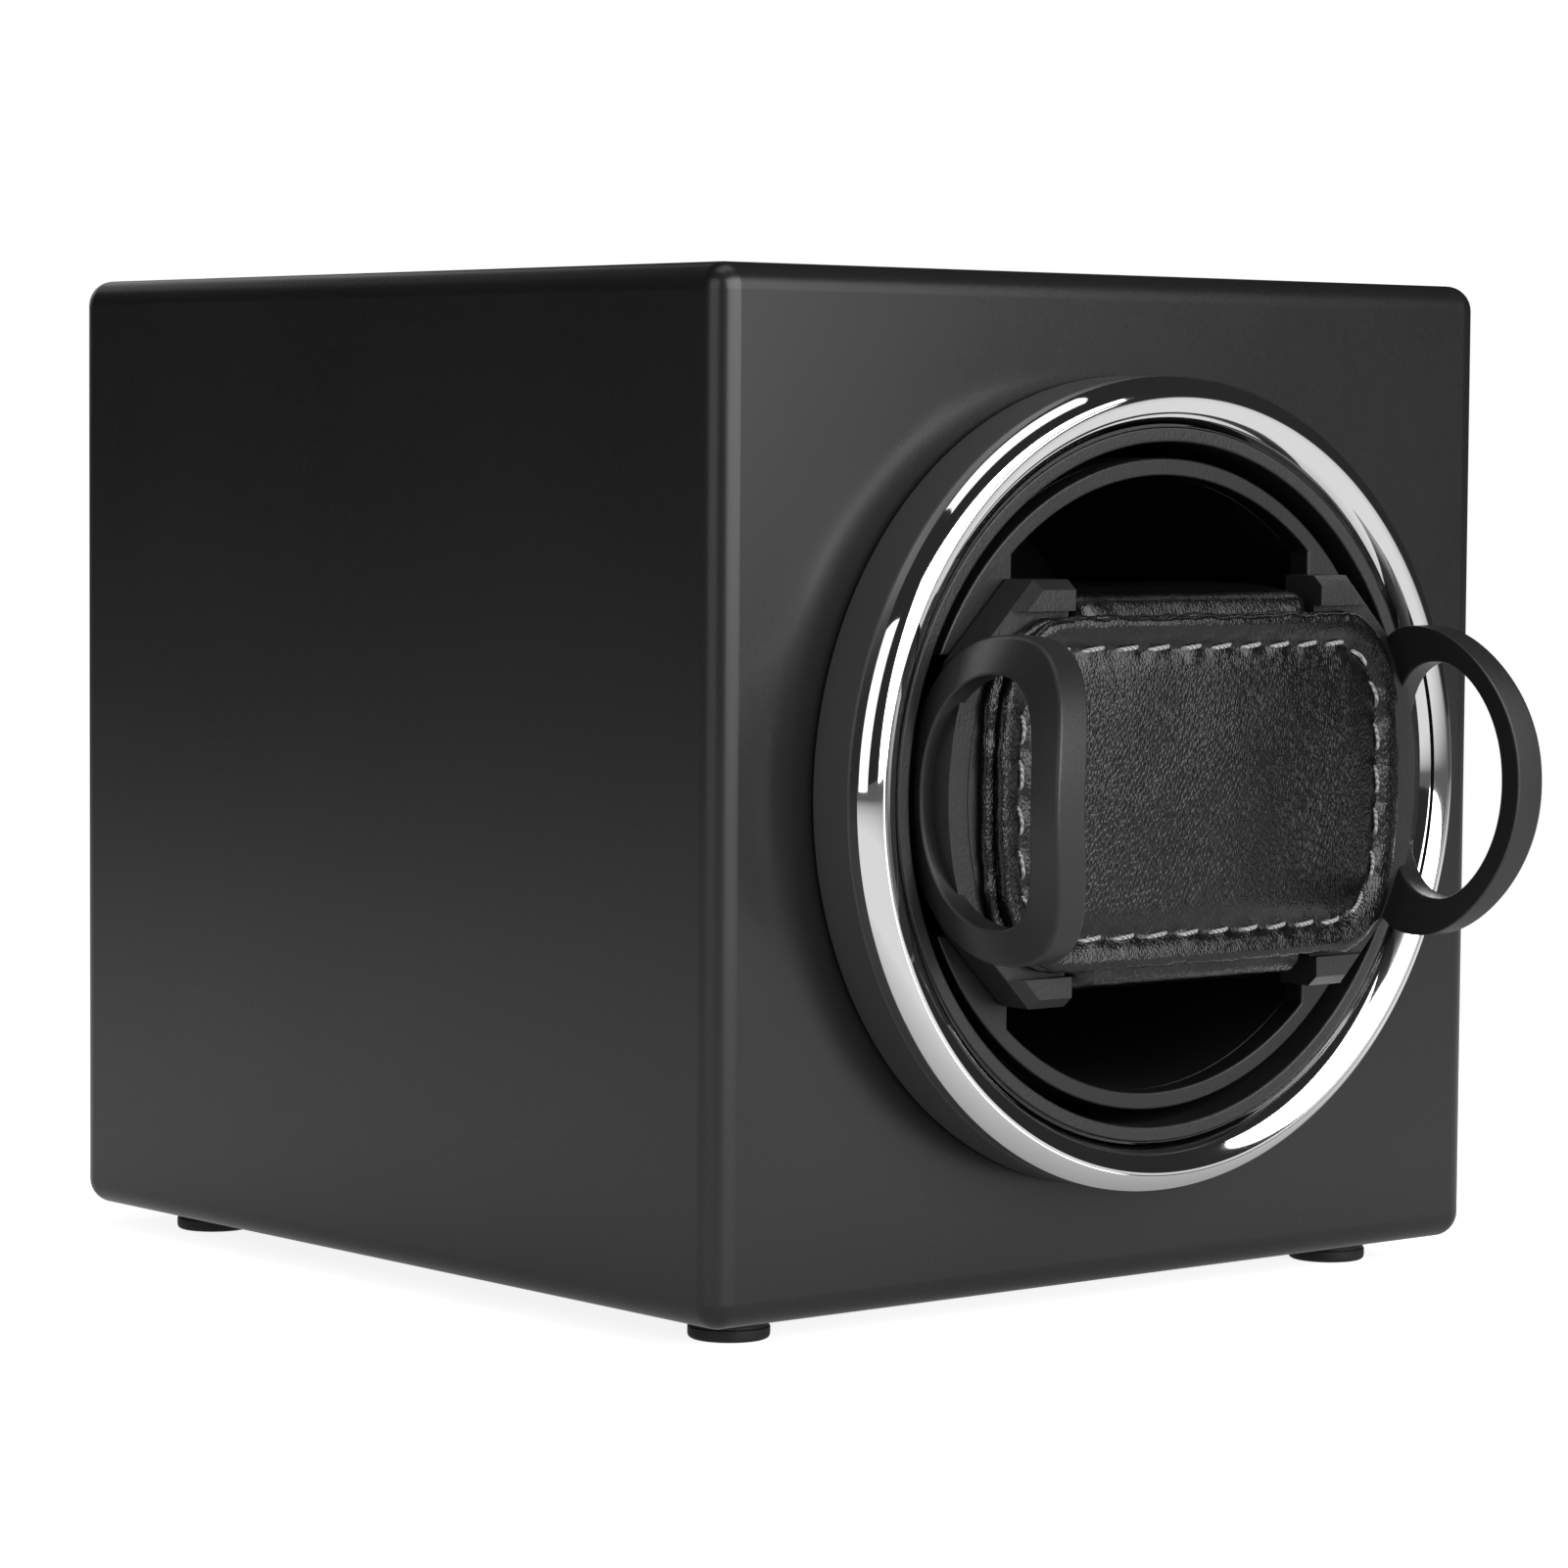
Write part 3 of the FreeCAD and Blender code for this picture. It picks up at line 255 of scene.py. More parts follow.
looks = {
    "black_lacquer": surface("black_lacquer", (0.0115, 0.0109, 0.0115), 0.28, mottle=0.05,
                             mottle_size=0.03, gloss_change=0.02, grain=0.0011,
                             grain_depth=0.000002, specular=0.5),
    "corner_wood": wood_material("corner_wood"),
    "black_panel": surface("black_panel", (0.018, 0.018, 0.019), 0.55, grain=0.0005,
                           grain_depth=0.00004),
    "black_rubber": surface("black_rubber", (0.014, 0.014, 0.0145), 0.6, grain=0.0003,
                            grain_depth=0.00002, specular=0.4),
    "screw_steel": brushed("screw_steel", (0.55, 0.55, 0.56), 0.35, (1, 1, 1)),
    "black_screw": brushed("black_screw", (0.045, 0.045, 0.048), 0.38, (1, 1, 1), 0.6),
    "base_ring_black": surface("base_ring_black", (0.052, 0.052, 0.0523), 0.50, mottle=0.05,
                               grain=0.0006, grain_depth=0.000006),
    "chrome": surface("chrome", (0.83, 0.83, 0.835), 0.045, 1.0, mottle=0.02, gloss_change=0.015,
                      grain=0.004, grain_depth=0.0000012),
    "trim_black": surface("trim_black", (0.011, 0.011, 0.0113), 0.45, grain=0.00045,
                          grain_depth=0.00007, grain_detail=3.0),
    "rotor_black": surface("rotor_black", (0.006, 0.006, 0.0063), 0.42, grain=0.0005,
                           grain_depth=0.00003),
    "holder_black": surface("holder_black", (0.013, 0.013, 0.0133), 0.40, grain=0.00042,
                            grain_depth=0.00005, grain_detail=3.0),
    "loop_black": surface("loop_black", (0.014, 0.014, 0.0143), 0.42, mottle=0.08,
                          grain=0.0004, grain_depth=0.00002),
    "black_leather": leather_material("black_leather", 0.00042, 0.000030),
    "thread": thread_material("thread"),
    "chassis_plastic": surface("chassis_plastic", (0.06, 0.06, 0.063), 0.5, grain=0.0006,
                               grain_depth=0.00003),
    "gear_white": surface("gear_white", (0.72, 0.71, 0.66), 0.42, mottle=0.05, grain=0.0008,
                          grain_depth=0.00001),
    "bush_bronze": brushed("bush_bronze", (0.62, 0.42, 0.2), 0.4, (1, 1, 1)),
    "shaft_steel": brushed("shaft_steel", (0.6, 0.6, 0.62), 0.25, (1, 12, 1)),
    "motor_steel": brushed("motor_steel", (0.58, 0.58, 0.59), 0.3, (1, 6, 1)),
    "motor_plastic": surface("motor_plastic", (0.08, 0.08, 0.083), 0.5, grain=0.0005),
    "terminal_brass": brushed("terminal_brass", (0.75, 0.56, 0.25), 0.3, (1, 1, 1)),
    "magnet_grey": surface("magnet_grey", (0.06, 0.06, 0.06), 0.7, grain=0.0003,
                           grain_depth=0.00004),
    "armature_steel": brushed("armature_steel", (0.42, 0.36, 0.32), 0.4, (1, 20, 1)),
    "board_green": surface("board_green", (0.012, 0.10, 0.035), 0.25, mottle=0.1,
                           mottle_size=0.003, coat=0.4, grain=0.001, grain_depth=0.00001),
    "chip_black": surface("chip_black", (0.014, 0.014, 0.0145), 0.45, grain=0.0002,
                          grain_depth=0.00002),
    "capacitor_sleeve": surface("capacitor_sleeve", (0.02, 0.03, 0.09), 0.35, grain=0.0008),
    "switch_black": surface("switch_black", (0.014, 0.014, 0.0145), 0.22, mottle=0.05,
                            grain=0.0006, grain_depth=0.000005),
    "knob_black": surface("knob_black", (0.018, 0.018, 0.0185), 0.42, grain=0.0004,
                          grain_depth=0.00003),
}

record = frame["record"]
slot_of = {part["node"]: part["material_slot"] for part in record["subparts"]}
for node_name, node_object in nodes.items():
    node_object.data.materials.clear()
    node_object.data.materials.append(looks[slot_of[node_name]])
    for face in node_object.data.polygons:
        face.material_index = 0


# ---------------------------------------------------------------- mesh helpers
def piece(name, vertices, faces, slot, body, stands_for=()):
    """A piece made from points and faces."""
    mesh = bpy.data.meshes.new(name)
    mesh.from_pydata(vertices, [], faces)
    mesh.validate()
    return dress(name, mesh, slot, body, stands_for)


def dress(name, mesh, slot, body, stands_for=(), look=None):
    """Makes the mesh a smooth piece in its slot's finish, or in another look, on its body."""
    mesh.materials.clear()
    mesh.materials.append(looks[look or slot])
    for face in mesh.polygons:
        face.use_smooth = True
        face.material_index = 0
    made = bpy.data.objects.new(name, mesh)
    bpy.context.scene.collection.objects.link(made)
    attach(made, body)
    if stands_for:
        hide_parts(*stands_for)
    return made


def even_normals(made):
    """Keeps flat faces flat beside small rounded edges."""
    weighted = made.modifiers.new("even normals", "WEIGHTED_NORMAL")
    weighted.weight = 80
    weighted.keep_sharp = True


def rounded(corners, radii, steps=4):
    """Closed outline with each corner rounded by its own radius."""
    points = []
    count = len(corners)
    for index, corner in enumerate(corners):
        here = Vector(corner)
        before = Vector(corners[index - 1]) - here
        after = Vector(corners[(index + 1) % count]) - here
        reach = min(radii[index], before.length * 0.45, after.length * 0.45)
        if reach < 1e-4:
            points.append(here)
            continue
        start = here + before.normalized() * reach
        end = here + after.normalized() * reach
        for step in range(steps + 1):
            t = step / steps
            points.append(start * (1 - t) ** 2 + here * 2 * t * (1 - t) + end * t ** 2)
    return points


def bend(start, corner, end, steps):
    """Points on the curve that leaves start towards the corner and reaches end from it."""
    return [tuple(start[i] * (1 - t) ** 2 + corner[i] * 2 * t * (1 - t) + end[i] * t * t
                  for i in (0, 1)) for t in (step / steps for step in range(steps))]


def arc(centre, radius, start, end, steps):
    """Points on an arc between two angles in degrees, from the outward direction."""
    return [(centre[0] + radius * math.cos(math.radians(angle)),
             centre[1] + radius * math.sin(math.radians(angle)))
            for angle in (start + (end - start) * step / steps for step in range(steps + 1))]


def turned(name, outline, slot, body, stands_for=(), centre=None, along="Y", count=256):
    """Ring turned round an axis: the outline is closed, in (radius, place along the axis)."""
    cx, cy = centre or (0.0, axis_z)
    vertices = []
    for index in range(count):
        angle = 2 * math.pi * index / count
        for radius, place in outline:
            a = cx + radius * math.cos(angle)
            b = cy + radius * math.sin(angle)
            vertices.append((a, place, b) if along == "Y" else (a, b, place))
    made = piece(name, vertices, closed_band(count, len(outline)), slot, body, stands_for)
    outward(made.data)
    even_normals(made)


def closed_band(count, size):
    """Faces between count closed outlines of size points each, the last joined to the first."""
    faces = []
    for index in range(count):
        beside = (index + 1) % count
        for step in range(size):
            after = (step + 1) % size
            faces.append((index * size + step, index * size + after,
                          beside * size + after, beside * size + step))
    return faces


def outward(mesh):
    """Turns all faces of the closed mesh outwards."""
    shape = bmesh.new()
    shape.from_mesh(mesh)
    bmesh.ops.recalc_face_normals(shape, faces=shape.faces)
    shape.to_mesh(mesh)
    shape.free()


def ring_outline(points, radii):
    """Rounded outline for a ring: points in millimetres as (radius, height ahead of the case)."""
    return [(radius * MM, ahead(height)) for radius, height in rounded(points, radii)]


# ---------------------------------------------------------------- bezel rings
base_ring_radius = (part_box("bezel_base_ring")[1].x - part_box("bezel_base_ring")[0].x) / 2 / MM
base_ring_height = 6.4
sleeve_radius = base_ring_radius - 4.0
ring_back = -8.0
base_relief = 0.5
trim_outer = base_ring_radius - 5.8
trim_inner = trim_outer - 1.6
trim_height = 8.0
bore_radius = trim_outer + 0.05

turned("bezel_base_ring_finished", ring_outline([
    (bore_radius, base_ring_height), (base_ring_radius, base_ring_height),
    (base_ring_radius, base_relief), (base_ring_radius - base_relief, base_relief),
    (base_ring_radius - base_relief, 0.0), (sleeve_radius, 0.0), (sleeve_radius, ring_back),
    (bore_radius, ring_back)],
    [0.05, 0.25, 0.15, 0.05, 0.05, 0.05, 0.2, 0.2]),
    "base_ring_black", "frame", ("bezel_base_ring",))

# the chrome ring's section: a short wall, a broad shoulder, a tight ridge and a hollow inside
chrome_wall_top = base_ring_height + 1.5
chrome_inner_height = 8.0
chrome_lip = 0.15
shoulder_radius, shoulder_start = 3.2, 18.0
ridge_radius, ridge_start, ridge_end = 0.8, 73.0, 100.0
hollow_corner = (base_ring_radius - 4.44, 9.65)
hollow_foot = (bore_radius + chrome_lip, chrome_inner_height + 0.05)
shoulder_centre = (base_ring_radius - shoulder_radius * math.cos(math.radians(shoulder_start)),
                   chrome_wall_top - shoulder_radius * math.sin(math.radians(shoulder_start)))
ridge_centre = tuple(
    shoulder_centre[i] + (shoulder_radius - ridge_radius) * f(math.radians(ridge_start))
    for i, f in ((0, math.cos), (1, math.sin)))
chrome_outline = [(bore_radius, base_ring_height + chrome_lip),
                  (bore_radius + chrome_lip, base_ring_height),
                  (base_ring_radius - 0.2, base_ring_height),
                  (base_ring_radius - 0.04, base_ring_height + 0.06),
                  (base_ring_radius, base_ring_height + 0.25),
                  (base_ring_radius, chrome_wall_top - 0.04)]
chrome_outline += arc(shoulder_centre, shoulder_radius, shoulder_start, ridge_start, 22)
chrome_outline += arc(ridge_centre, ridge_radius, ridge_start, ridge_end, 12)
chrome_outline += bend(chrome_outline[-1], hollow_corner, hollow_foot, 16)[1:]
chrome_outline += [hollow_foot, (bore_radius + 0.04, chrome_inner_height - 0.05),
                   (bore_radius, chrome_inner_height - 0.25)]
turned("chrome_bezel_finished", [(r * MM, ahead(h)) for r, h in chrome_outline],
       "chrome", "frame", ("chrome_bezel",), count=384)

turned("trim_ring_finished", ring_outline([
    (trim_inner, trim_height), (trim_outer, trim_height), (trim_outer, ring_back),
    (trim_inner, ring_back)], [0.35, 0.2, 0.1, 0.2]),
    "trim_black", "frame", ("trim_ring",))

# ---------------------------------------------------------------- feet
foot_height, flange_radius, sole_radius = 3.0, 5.2, 4.6
screw_hole_radius, screw_head_radius, screw_head_height = 1.25, 2.6, 1.0
groove_radius, groove_low, groove_high = 4.45, 1.45, 1.9
foot_outline = rounded([
    (screw_hole_radius, foot_height), (flange_radius, foot_height), (flange_radius, 2.0),
    (groove_radius, groove_high), (groove_radius, groove_low), (sole_radius, 1.35),
    (sole_radius, 0.0), (screw_head_radius, 0.0), (screw_head_radius, screw_head_height),
    (screw_hole_radius, screw_head_height)],
    [0.05, 0.35, 0.3, 0.1, 0.1, 0.1, 0.6, 0.25, 0.05, 0.05])
for node_name in ("foot_front_left", "foot_front_right", "foot_rear_left", "foot_rear_right"):
    low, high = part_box(node_name)
    middle = (low + high) / 2
    turned(node_name + "_finished", [(r * MM, z * MM) for r, z in foot_outline], "black_rubber",
           "frame", (node_name,), (middle.x, middle.y), "Z", 72)

# ---------------------------------------------------------------- moulded parts with broken edges
sharp_angle, flat_angle = 28, 1.0
same_place = 0.05
# the end caps' raised step: heights ahead of the case, and distances from the rotor's axis
cap_step_foot, cap_step_top, cap_top = 11.7, 22.4, 23.5
cap_corner_x = 24.3
# its 45 degree corners: x + z along them, how low they reach and how far they move out
cap_step_slant, cap_slant_low, cap_slant_shift = 46.25, 17, 0.76
# the pocket that the pad's ends seat in
cap_seat_height, cap_seat_half_height = 11.8, 20.1


def cut_box(mesh, low, high):
    """The closed mesh with a box cut out of it."""
    lows, highs = Vector(low), Vector(high)
    corners = [(x, y, z) for x in (lows.x, highs.x) for y in (lows.y, highs.y)
               for z in (lows.z, highs.z)]
    tool_mesh = bpy.data.meshes.new("cutter")
    tool_mesh.from_pydata(corners, [], [(0, 1, 3, 2), (4, 6, 7, 5), (0, 4, 5, 1), (2, 3, 7, 6),
                                        (0, 2, 6, 4), (1, 5, 7, 3)])
    outward(tool_mesh)
    tool = bpy.data.objects.new("cutter", tool_mesh)
    body = bpy.data.objects.new("cut", mesh)
    for made in (tool, body):
        bpy.context.scene.collection.objects.link(made)
    cut = body.modifiers.new("cut", "BOOLEAN")
    cut.operation = "DIFFERENCE"
    cut.solver = "EXACT"
    cut.object = tool
    graph = bpy.context.evaluated_depsgraph_get()
    result = bpy.data.meshes.new_from_object(body.evaluated_get(graph))
    bpy.data.objects.remove(tool)
    bpy.data.objects.remove(body)
    return result


def sloped_step(shape):
    """Draws the foot of an end cap's raised step out to the cap's edge, which makes it a bevel."""
    for vertex in shape.verts:
        x, z = abs(vertex.co.x) / MM, abs(vertex.co.z - axis_z) / MM
        if abs(vertex.co.y - ahead(cap_step_foot)) > same_place * MM:
            continue
        if abs(z - cap_step_top) < same_place:
            out_x, out_z = (cap_corner_x if x > cap_corner_x - 1 else x), cap_top
        elif abs(x + z - cap_step_slant) < same_place and z > cap_slant_low:
            out_x, out_z = x + cap_slant_shift, z + cap_slant_shift
        else:
            continue
        vertex.co.x = math.copysign(out_x * MM, vertex.co.x)
        vertex.co.z = axis_z + math.copysign(out_z * MM, vertex.co.z - axis_z)


def softened(node_name, width, pocket=None):
    """The CAD node's own shape with its edges broken, and for an end cap a pocket cut in."""
    shape = bmesh.new()
    shape.from_mesh(nodes[node_name].data)
    if pocket:
        sloped_step(shape)
    bmesh.ops.remove_doubles(shape, verts=shape.verts, dist=0.002 * MM)
    if pocket:
        whole = bpy.data.meshes.new("whole")
        shape.to_mesh(whole)
        shape.clear()
        shape.from_mesh(cut_box(whole, *pocket))
    bmesh.ops.dissolve_limit(shape, angle_limit=math.radians(flat_angle), verts=shape.verts,
                             edges=shape.edges)
    edges = [edge for edge in shape.edges if len(edge.link_faces) == 2
             and edge.calc_face_angle(0) > math.radians(sharp_angle)]
    bmesh.ops.bevel(shape, geom=edges, offset=width * MM, offset_type="OFFSET",
                    segments=2, profile=0.5, affect="EDGES", clamp_overlap=True)
    mesh = bpy.data.meshes.new(node_name + "_finished")
    shape.to_mesh(mesh)
    shape.free()
    for name in ("custom_normal", "sharp_edge", "sharp_face"):
        if name in mesh.attributes:
            mesh.attributes.remove(mesh.attributes[name])
    made = dress(node_name + "_finished", mesh, slot_of[node_name],
                 nodes[node_name]["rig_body"], (node_name,))
    even_normals(made)


for node_name in ("left_end_cap", "right_end_cap"):
    low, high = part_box(node_name)
    softened(node_name, 0.38, pocket=(
        (low.x - MM, low.y - MM, axis_z - cap_seat_half_height * MM),
        (high.x + MM, ahead(cap_seat_height), axis_z + cap_seat_half_height * MM)))

for node_name, width in {
        "rotor_front_plate": 0.30, "rotor_cup": 0.25, "back_panel": 0.35,
        "power_switch_housing": 0.35, "power_rocker": 0.3, "mode_knob": 0.3,
        "mode_shaft": 0.15, "holder_core": 0.3}.items():
    softened(node_name, width)

# ---------------------------------------------------------------- finger loops
# seen from the side: heights ahead of the case of its front, widest place and rear, half height
loop_front, loop_widest, loop_rear, loop_half = 30.4, 17.5, 5.4, 17.8
hole_front, hole_widest, hole_rear, hole_half = 26.9, 18.5, 9.0, 13.6
oval_power = 2.3
# seen from the front: the outer side bulges most at the belly and is rounder at the front
belly_x, belly_height, belly_curve = trim_outer - 0.9, 19.0, 0.013
rear_arc, front_arc = 36.0, 23.0
rear_thickness, front_thickness = 2.6, 4.4
loop_edge = 0.38


def oval(front, widest, rear, half, turn):
    """Point on a blunt oval, as (height ahead of the case, distance up from the axis)."""
    c = math.cos(turn)
    s = math.sin(turn)
    reach = front - widest if c > 0 else widest - rear
    power = 2 / oval_power
    return Vector((widest + reach * math.copysign(abs(c) ** power, c),
                   half * math.copysign(abs(s) ** power, s)))


def loop_outer_x(height, up):
    """Distance of the loop's outer side from the middle plane of the holder."""
    share = (height - loop_rear) / (loop_front - loop_rear)
    round_radius = rear_arc + (front_arc - rear_arc) * share
    return (belly_x - belly_curve * (height - belly_height) ** 2 - round_radius
            + math.sqrt(round_radius ** 2 - up ** 2))


def finger_loop(name, sign, body, node_name):
    """Closed oval band with rounded edges, thicker at the front."""
    around, edge = 160, loop_edge
    vertices = []
    for index in range(around):
        turn = 2 * math.pi * index / around
        inner = oval(hole_front, hole_widest, hole_rear, hole_half, turn)
        outer = oval(loop_front, loop_widest, loop_rear, loop_half, turn)
        width = (outer - inner).length
        share = (inner.x - loop_rear) / (loop_front - loop_rear)
        thickness = rear_thickness + (front_thickness - rear_thickness) * min(1, max(0, share))
        section = rounded([(0, 0), (width / 2, 0), (width, 0), (width, thickness / 2),
                           (width, thickness), (width / 2, thickness), (0, thickness),
                           (0, thickness / 2)], [edge, 0, edge, 0, edge, 0, edge, 0], 5)
        for across, deep in section:
            at = inner + (outer - inner) * (across / width)
            x = loop_outer_x(at.x, at.y) - deep
            vertices.append((sign * x * MM, ahead(at.x), axis_z + at.y * MM))
    made = piece(name, vertices, closed_band(around, len(section)), "loop_black", body,
                 (node_name,))
    outward(made.data)
    even_normals(made)


finger_loop("left_finger_loop_finished", -1, "left_clamp", "left_finger_loop")
finger_loop("right_finger_loop_finished", 1, "right_clamp", "right_finger_loop")


def squeezed(made):
    """Gives a half its own copy of its mesh."""
    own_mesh(made)


def soft_halves(name, mesh, node_name):
    """A padded piece as two halves that meet at x = 0, each on the holder with its own copy of its
    mesh.
    """
    for sign, side in ((-1, "left"), (1, "right")):
        shape = bmesh.new()
        shape.from_mesh(mesh)
        cut = bmesh.ops.bisect_plane(
            shape, geom=shape.verts[:] + shape.edges[:] + shape.faces[:], dist=0.001 * MM,
            plane_co=(0, 0, 0), plane_no=(sign, 0, 0), clear_inner=True)
        rim = [item for item in cut["geom_cut"] if isinstance(item, bmesh.types.BMEdge)]
        bmesh.ops.holes_fill(shape, edges=rim, sides=0)
        for edge in shape.edges:
            edge.smooth = all(abs(end.co.x) > 0.002 * MM for end in edge.verts)
        half = bpy.data.meshes.new(name + "_" + side)
        shape.to_mesh(half)
        shape.free()
        made = dress(name + "_" + side, half, "black_leather", "holder", (node_name,))
        outward(made.data)
        squeezed(made)


# ---------------------------------------------------------------- front pad
pad_half_width, pad_half_height, pad_corner = belly_x - 7.1, 19.7, 9.0
pad_front, pad_back, pad_seat = 15.75, 13.3, 12.0
seat_start, seat_slope = 19.5, 3.5
stitch_half_width, stitch_half_height, stitch_corner = pad_half_width - 4.8, 15.9, 6.5
stitch_pitch = 4.9
# the fall of the front from its middle to the seam, sideways and upwards
crown_across, crown_half_width = 1.8, 27.4
crown_up, crown_half_height = 0.3, 15.9
# what the sewing does to it: a channel at the seam, a fall outside it, a dip at each stitch
channel_depth, channel_width_in, channel_width_out = 0.34, 1.5, 0.8
puff_height, puff_reach = 1.5, 3.2
stitch_dip, stitch_dip_width = 0.14, 1.0
gather_depth, gather_width, unevenness = 0.17, 2.0, 0.14
end_bulge = 0.05


def distance_inside(x, z, half_width, half_height, corner):
    """Distance inside a round-cornered rectangle, below zero outside."""
    qx = abs(x) - (half_width - corner)
    qz = abs(z) - (half_height - corner)
    outside = math.hypot(max(qx, 0), max(qz, 0))
    return corner - outside - min(max(qx, qz), 0)


def bow(z):
    """The pad's two ends bow outwards: its width at this height, as a share of a straight one's."""
    return 1 + end_bulge * (0.25 - (z / crown_half_height) ** 2)


def bulged(point):
    """The point moved out or in with the bow of the pad's ends."""
    return Vector((point.x * bow(point.y), point.y))


def outline_point(along, half_width, half_height, corner):
    """Point on a round-cornered rectangle at this share of the way round, and its normal."""
    sides = [2 * (half_width - corner), math.pi / 2 * corner,
             2 * (half_height - corner), math.pi / 2 * corner] * 2
    total = sum(sides)
    left = (along % 1.0) * total
    middles = [(0, half_height - corner), (half_width - corner, half_height - corner),
               (half_width - corner, 0), (half_width - corner, corner - half_height),
               (0, corner - half_height), (corner - half_width, corner - half_height),
               (corner - half_width, 0), (corner - half_width, half_height - corner)]
    for index, side in enumerate(sides):
        if left <= side or index == len(sides) - 1:
            quarter = index // 2 * math.pi / 2
            middle = Vector(middles[index])
            if index % 2 == 0:
                normal = Vector((math.sin(quarter), math.cos(quarter)))
                tangent = Vector((normal.y, -normal.x))
                return middle + normal * corner + tangent * (left - side / 2), normal
            turn = quarter + left / corner
            normal = Vector((math.sin(turn), math.cos(turn)))
            return middle + normal * corner, normal
        left -= side


def seam_length():
    """Length of the seam, all the way round."""
    return (4 * (stitch_half_width + stitch_half_height - 2 * stitch_corner)
            + 2 * math.pi * stitch_corner)


def seam_place(x, z):
    """Distance along the seam, from the left end of its top run, of the place nearest a point."""
    a, b = stitch_half_width - stitch_corner, stitch_half_height - stitch_corner
    quarter = math.pi / 2 * stitch_corner
    if abs(x) <= a:
        return x + a if z > 0 else 3 * a + 2 * b + 2 * quarter - x
    if abs(z) <= b:
        return 2 * a + quarter + b - z if x > 0 else 4 * a + 3 * b + 3 * quarter + z
    if x > 0 and z > 0:
        return 2 * a + stitch_corner * math.atan2(x - a, z - b)
    if x > 0:
        return 2 * a + 2 * b + quarter + stitch_corner * math.atan2(-z - b, x - a)
    if z < 0:
        return 4 * a + 2 * b + 2 * quarter + stitch_corner * math.atan2(-x - a, -z - b)
    return 4 * a + 4 * b + 3 * quarter + stitch_corner * math.atan2(z - b, -x - a)


stitch_count = round(seam_length() / stitch_pitch)


def pad_height(x, z):
    """Height of the pad's front in millimetres ahead of the case, without its outer edge."""
    inside = distance_inside(x / bow(z), z, stitch_half_width, stitch_half_height, stitch_corner)
    height = (pad_front - crown_across * (x / crown_half_width) ** 2
              - crown_up * (z / crown_half_height) ** 2)
    height += (noise.noise(Vector((x * 0.10, z * 0.10, 3.1))) * unevenness
               * min(1, abs(inside) / 3))
    if inside > 0:
        height -= channel_depth * math.exp(-(inside / channel_width_in) ** 2)
    else:
        height -= channel_depth * math.exp(-(inside / channel_width_out) ** 2)
        height += puff_height * (1 - math.exp(inside / puff_reach))
    place = seam_place(x / bow(z), z) / seam_length() * stitch_count
    pull = (stitch_dip * math.cos(2 * math.pi * place)
            * math.exp(-(inside / stitch_dip_width) ** 2))
    gather = (noise.noise(Vector((x * 0.8, z * 0.8, 7.7))) * gather_depth
              * math.exp(-(inside / gather_width) ** 2))
    return height + gather - pull


def pad_back_height(x):
    """Height of the pad's back: it seats on the pillow and, past it, in the end caps."""
    share = min(1, max(0, (abs(x) - seat_start) / seat_slope))
    return pad_back - (pad_back - pad_seat) * share * share * (3 - 2 * share)


